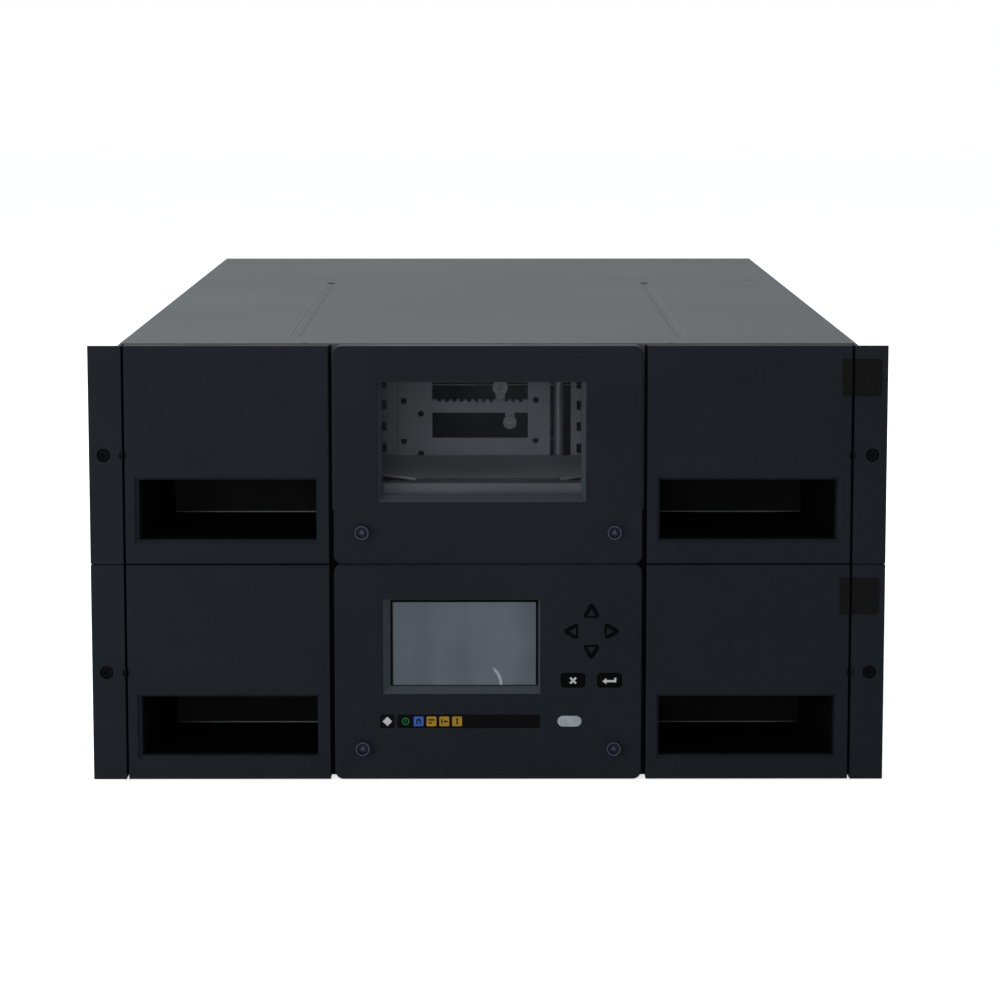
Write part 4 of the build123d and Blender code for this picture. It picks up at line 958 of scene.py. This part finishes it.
class TAPE_OT_controls(Piece):
    """Finishes the display, the keys and the light strip, with their marks"""

    bl_idname = "tape.controls"
    bl_label = "Controls"

    def execute(self, context):
        sizes, _ = settings()
        self.lift = sizes.mark_height
        self.display()
        dress("light_strip", plain_gloss("strip_black", colour(1, 1, 2), 0.3, 0.03), 0.1)
        dress("light_guides", plain_gloss("guide_dark", colour(2, 2, 2), 0.3, 0.03))
        dress("control_board", circuit_board("board_green"))
        self.status_lights()
        black = plain_gloss("key_black", colour(1, 1, 1), 0.5, 0.02)
        raised = moulded("key_face", colour(22, 27, 31), colour(30, 35, 40), texture=0.3)
        white = plain_gloss("mark_white", colour(164, 166, 168), 0.5, 0.05)
        arrows = {"up_key": 90, "left_key": 180, "down_key": 270, "right_key": 0}
        radius, sunk = 2.7 * MM, 0.3 * MM
        for key, turn in arrows.items():
            dress(key, black, 0.2)
            low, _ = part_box(key)
            face = polygon(3, radius, turn, self.arrow_middle(key, turn))
            bm = bmesh.new()
            front_plate(bm, face, low.y - self.lift, low.y + sunk)
            bevel(new_piece(f"{key}_face", bm, key, raised), 0.25)
        dress("cancel_key", black, 0.2)
        dress("enter_key", black, 0.2)
        self.cancel_mark(white)
        self.enter_mark(white)
        dress("power_button", plain_gloss("power_silver", colour(126, 134, 138), 0.4, 0.12), 0.5, 3)
        return {"FINISHED"}

    def arrow_middle(self, key, turn):
        """The middle of a key's triangle, which lies off its box's middle, away from its tip."""
        low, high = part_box(key)
        centre = middle_of(key)
        side = min(high.x - low.x, high.z - low.z)
        back = side / 6
        return (
            centre.x - back * math.cos(math.radians(turn)) * (turn in (0, 180)),
            centre.z - back * math.sin(math.radians(turn)) * (turn in (90, 270)),
        )

    def display(self):
        """The screen, and the black gasket round it, which is thin along the foot."""
        low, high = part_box("display")
        dress("display", unlit_screen("screen_grey", (low.x, low.z)))
        land, line, foot_line, proud = 1.5 * MM, 1.3 * MM, 0.3 * MM, 0.5 * MM
        left, right, foot, top = low.x + land, high.x - land, low.z + land, high.z - land
        outer = rectangle(left, right, foot, top)
        inner = rectangle(left + line, right - line, foot + foot_line, top - line)
        bm = bmesh.new()
        framed_plate(bm, outer, inner, low.y - proud, low.y)
        gasket = plain_gloss("gasket_black", colour(2, 2, 2), 0.6, 0.02)
        new_piece("display_gasket", bm, "library", gasket)

    def status_lights(self):
        """The marks over the light guides: a diamond, a dotted ring, a blue and three amber squares."""
        white = plain_gloss("light_white", colour(162, 164, 166), 0.4, 0.05)
        green = plain_gloss("light_green", colour(14, 84, 36), 0.4, 0.05)
        blue = plain_gloss("light_blue", colour(46, 78, 146), 0.4, 0.05)
        amber = plain_gloss("light_amber", colour(136, 106, 30), 0.4, 0.05)
        dark = plain_gloss("light_mark", colour(20, 20, 20), 0.5, 0.02)
        tones = (white, green, blue, amber, amber, amber)
        names = ("badge", "ready", "clean", "attention", "drive", "library")
        diamond, outer, inner, dot = 2.9 * MM, 2.3 * MM, 1.5 * MM, 0.55 * MM
        corner, sunk = 0.7 * MM, 0.1 * MM
        for (low, high), tone, name in zip(solids_of("light_guides"), tones, names):
            centre = ((low.x + high.x) / 2, (low.z + high.z) / 2)
            size = high.x - low.x
            front, back = low.y - self.lift, low.y + sunk
            bm = bmesh.new()
            if name == "badge":
                front_plate(bm, polygon(4, diamond, 90, centre), front, back)
            elif name == "ready":
                framed_plate(bm, polygon(20, outer, 0, centre), polygon(20, inner, 0, centre), front, back)
                front_plate(bm, polygon(12, dot, 0, centre), front, back)
            else:
                front_plate(bm, rounded_box(size, size, corner, centre), front, back)
                self.glyph(name, centre, front, dark)
            new_piece(f"{name}_light", bm, "library", tone)

    def glyph(self, name, centre, front, material):
        """A small generic sign on a coloured square, from outlines in millimetres."""
        shapes = {
            "clean": [[
                (-1.4, -1.9), (-1.4, 0.9), (-0.8, 1.6), (0.8, 1.6), (1.4, 0.9), (1.4, -1.9),
                (0.6, -1.9), (0.6, 0.5), (-0.6, 0.5), (-0.6, -1.9),
            ]],
            "attention": [
                [(-1.8, 0.5), (-1.8, 1.4), (1.8, 1.4), (1.8, 0.5)],
                [(-1.8, -1.4), (-1.8, -0.5), (0.4, -0.5), (0.4, -1.4)],
            ],
            "drive": [
                [(-1.9, -1.3), (-1.9, 1.3), (-1.1, 1.3), (-1.1, -1.3)],
                [(-0.3, -0.5), (-0.3, 0.5), (1.9, 0.5), (1.9, -0.5)],
            ],
            "library": [[(-0.5, -1.9), (-0.5, 1.9), (0.5, 1.9), (0.5, -1.9)]],
        }
        half_thick = 0.05 * MM
        bm = bmesh.new()
        for outline in shapes[name]:
            points = shift([(x * MM, z * MM) for x, z in outline], *centre)
            front_plate(bm, points, front - half_thick, front + half_thick)
        new_piece(f"{name}_sign", bm, "library", material)

    def cancel_mark(self, material):
        """Two crossed bars, one a little prouder than the other."""
        low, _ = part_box("cancel_key")
        centre = middle_of("cancel_key")
        arm, half, sunk, step = 2.5 * MM, 0.6 * MM, 0.2 * MM, 0.02 * MM
        corners = ((arm, half), (-arm, half), (-arm, -half), (arm, -half))
        bm = bmesh.new()
        for turn, proud in ((45, 0), (135, step)):
            c, s = math.cos(math.radians(turn)), math.sin(math.radians(turn))
            bar = [(u * c - w * s, u * s + w * c) for u, w in corners]
            front_plate(bm, shift(bar, centre.x, centre.z), low.y - self.lift - proud, low.y + sunk)
        new_piece("cancel_key_mark", bm, "cancel_key", material)

    def enter_mark(self, material):
        """A bent arrow, from an outline in millimetres."""
        low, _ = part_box("enter_key")
        centre = middle_of("enter_key")
        sunk = 0.2 * MM
        outline = [
            (-4.3, -0.4), (-1.9, 1.5), (-1.9, 0.25), (2.9, 0.25), (2.9, 1.7), (4.1, 1.7), (4.1, -1.05),
            (-1.9, -1.05), (-1.9, -2.3),
        ]
        points = [(x * MM, z * MM) for x, z in outline]
        bm = bmesh.new()
        front_plate(bm, shift(points, centre.x, centre.z), low.y - self.lift, low.y + sunk)
        new_piece("enter_key_mark", bm, "enter_key", material)


class TAPE_OT_back(Piece):
    """Finishes the drives, the power supplies and the control cards"""

    bl_idname = "tape.back"
    bl_label = "Back"

    def execute(self, context):
        zinc = plated_sheet("sled_zinc", colour(142, 145, 148), colour(154, 157, 160))
        dress("drive_sleds", zinc, 0.2)
        dress("tape_drives", moulded("drive_black", colour(12, 12, 13), colour(17, 17, 18)))
        case = plated_sheet("supply_case", colour(134, 137, 140), colour(146, 149, 152))
        dress("power_supplies", case, 0.2)
        dress("control_cards", zinc)
        socket = plain_gloss("socket_black", colour(16, 16, 18), 0.45)
        dress("mains_inlets", socket, 0.3)
        dress("port_blocks", socket, 0.2)
        fan = moulded("fan_plastic", colour(22, 22, 24), colour(30, 30, 32))
        dress("lower_fan", fan)
        dress("upper_fan", fan)
        dress("fan_grilles", turned("grille_wire", colour(150, 152, 155), colour(190, 192, 195)))
        dress("rear_screws", turned("screw_steel", colour(120, 122, 126), colour(160, 162, 166)), 0.4)
        return {"FINISHED"}


class TAPE_PT_looks(bpy.types.Panel):
    """Lists the steps in the sidebar"""

    bl_label = "Tape Library"
    bl_idname = "TAPE_PT_looks"
    bl_space_type = "VIEW_3D"
    bl_region_type = "UI"
    bl_category = "Tape Library"

    def draw(self, context):
        for step in STEPS:
            self.layout.operator(step.bl_idname)
        for group in (context.scene.tape_library_sizes, context.scene.tape_library_colours):
            for prop in group.bl_rna.properties:
                if prop.identifier not in {"rna_type", "name"}:
                    self.layout.prop(group, prop.identifier)


STEPS = (
    TAPE_OT_stage,
    TAPE_OT_fronts,
    TAPE_OT_fasteners,
    TAPE_OT_covers,
    TAPE_OT_window,
    TAPE_OT_magazines,
    TAPE_OT_controls,
    TAPE_OT_back,
)
CLASSES = (TapeLibrarySizes, TapeLibraryColours, *STEPS, TAPE_PT_looks)


def register():
    for made in CLASSES:
        bpy.utils.register_class(made)
    bpy.types.Scene.tape_library_sizes = bpy.props.PointerProperty(type=TapeLibrarySizes)
    bpy.types.Scene.tape_library_colours = bpy.props.PointerProperty(type=TapeLibraryColours)


def unregister():
    del bpy.types.Scene.tape_library_colours
    del bpy.types.Scene.tape_library_sizes
    for made in reversed(CLASSES):
        bpy.utils.unregister_class(made)


def main():
    register()
    for step in STEPS:
        group, call = step.bl_idname.split(".")
        getattr(getattr(bpy.ops, group), call)()
    bare = sorted(set(frame["nodes"]) - dressed)
    if bare:
        raise RuntimeError(f"these nodes have no finish: {bare}")


if __name__ == "__main__":
    main()
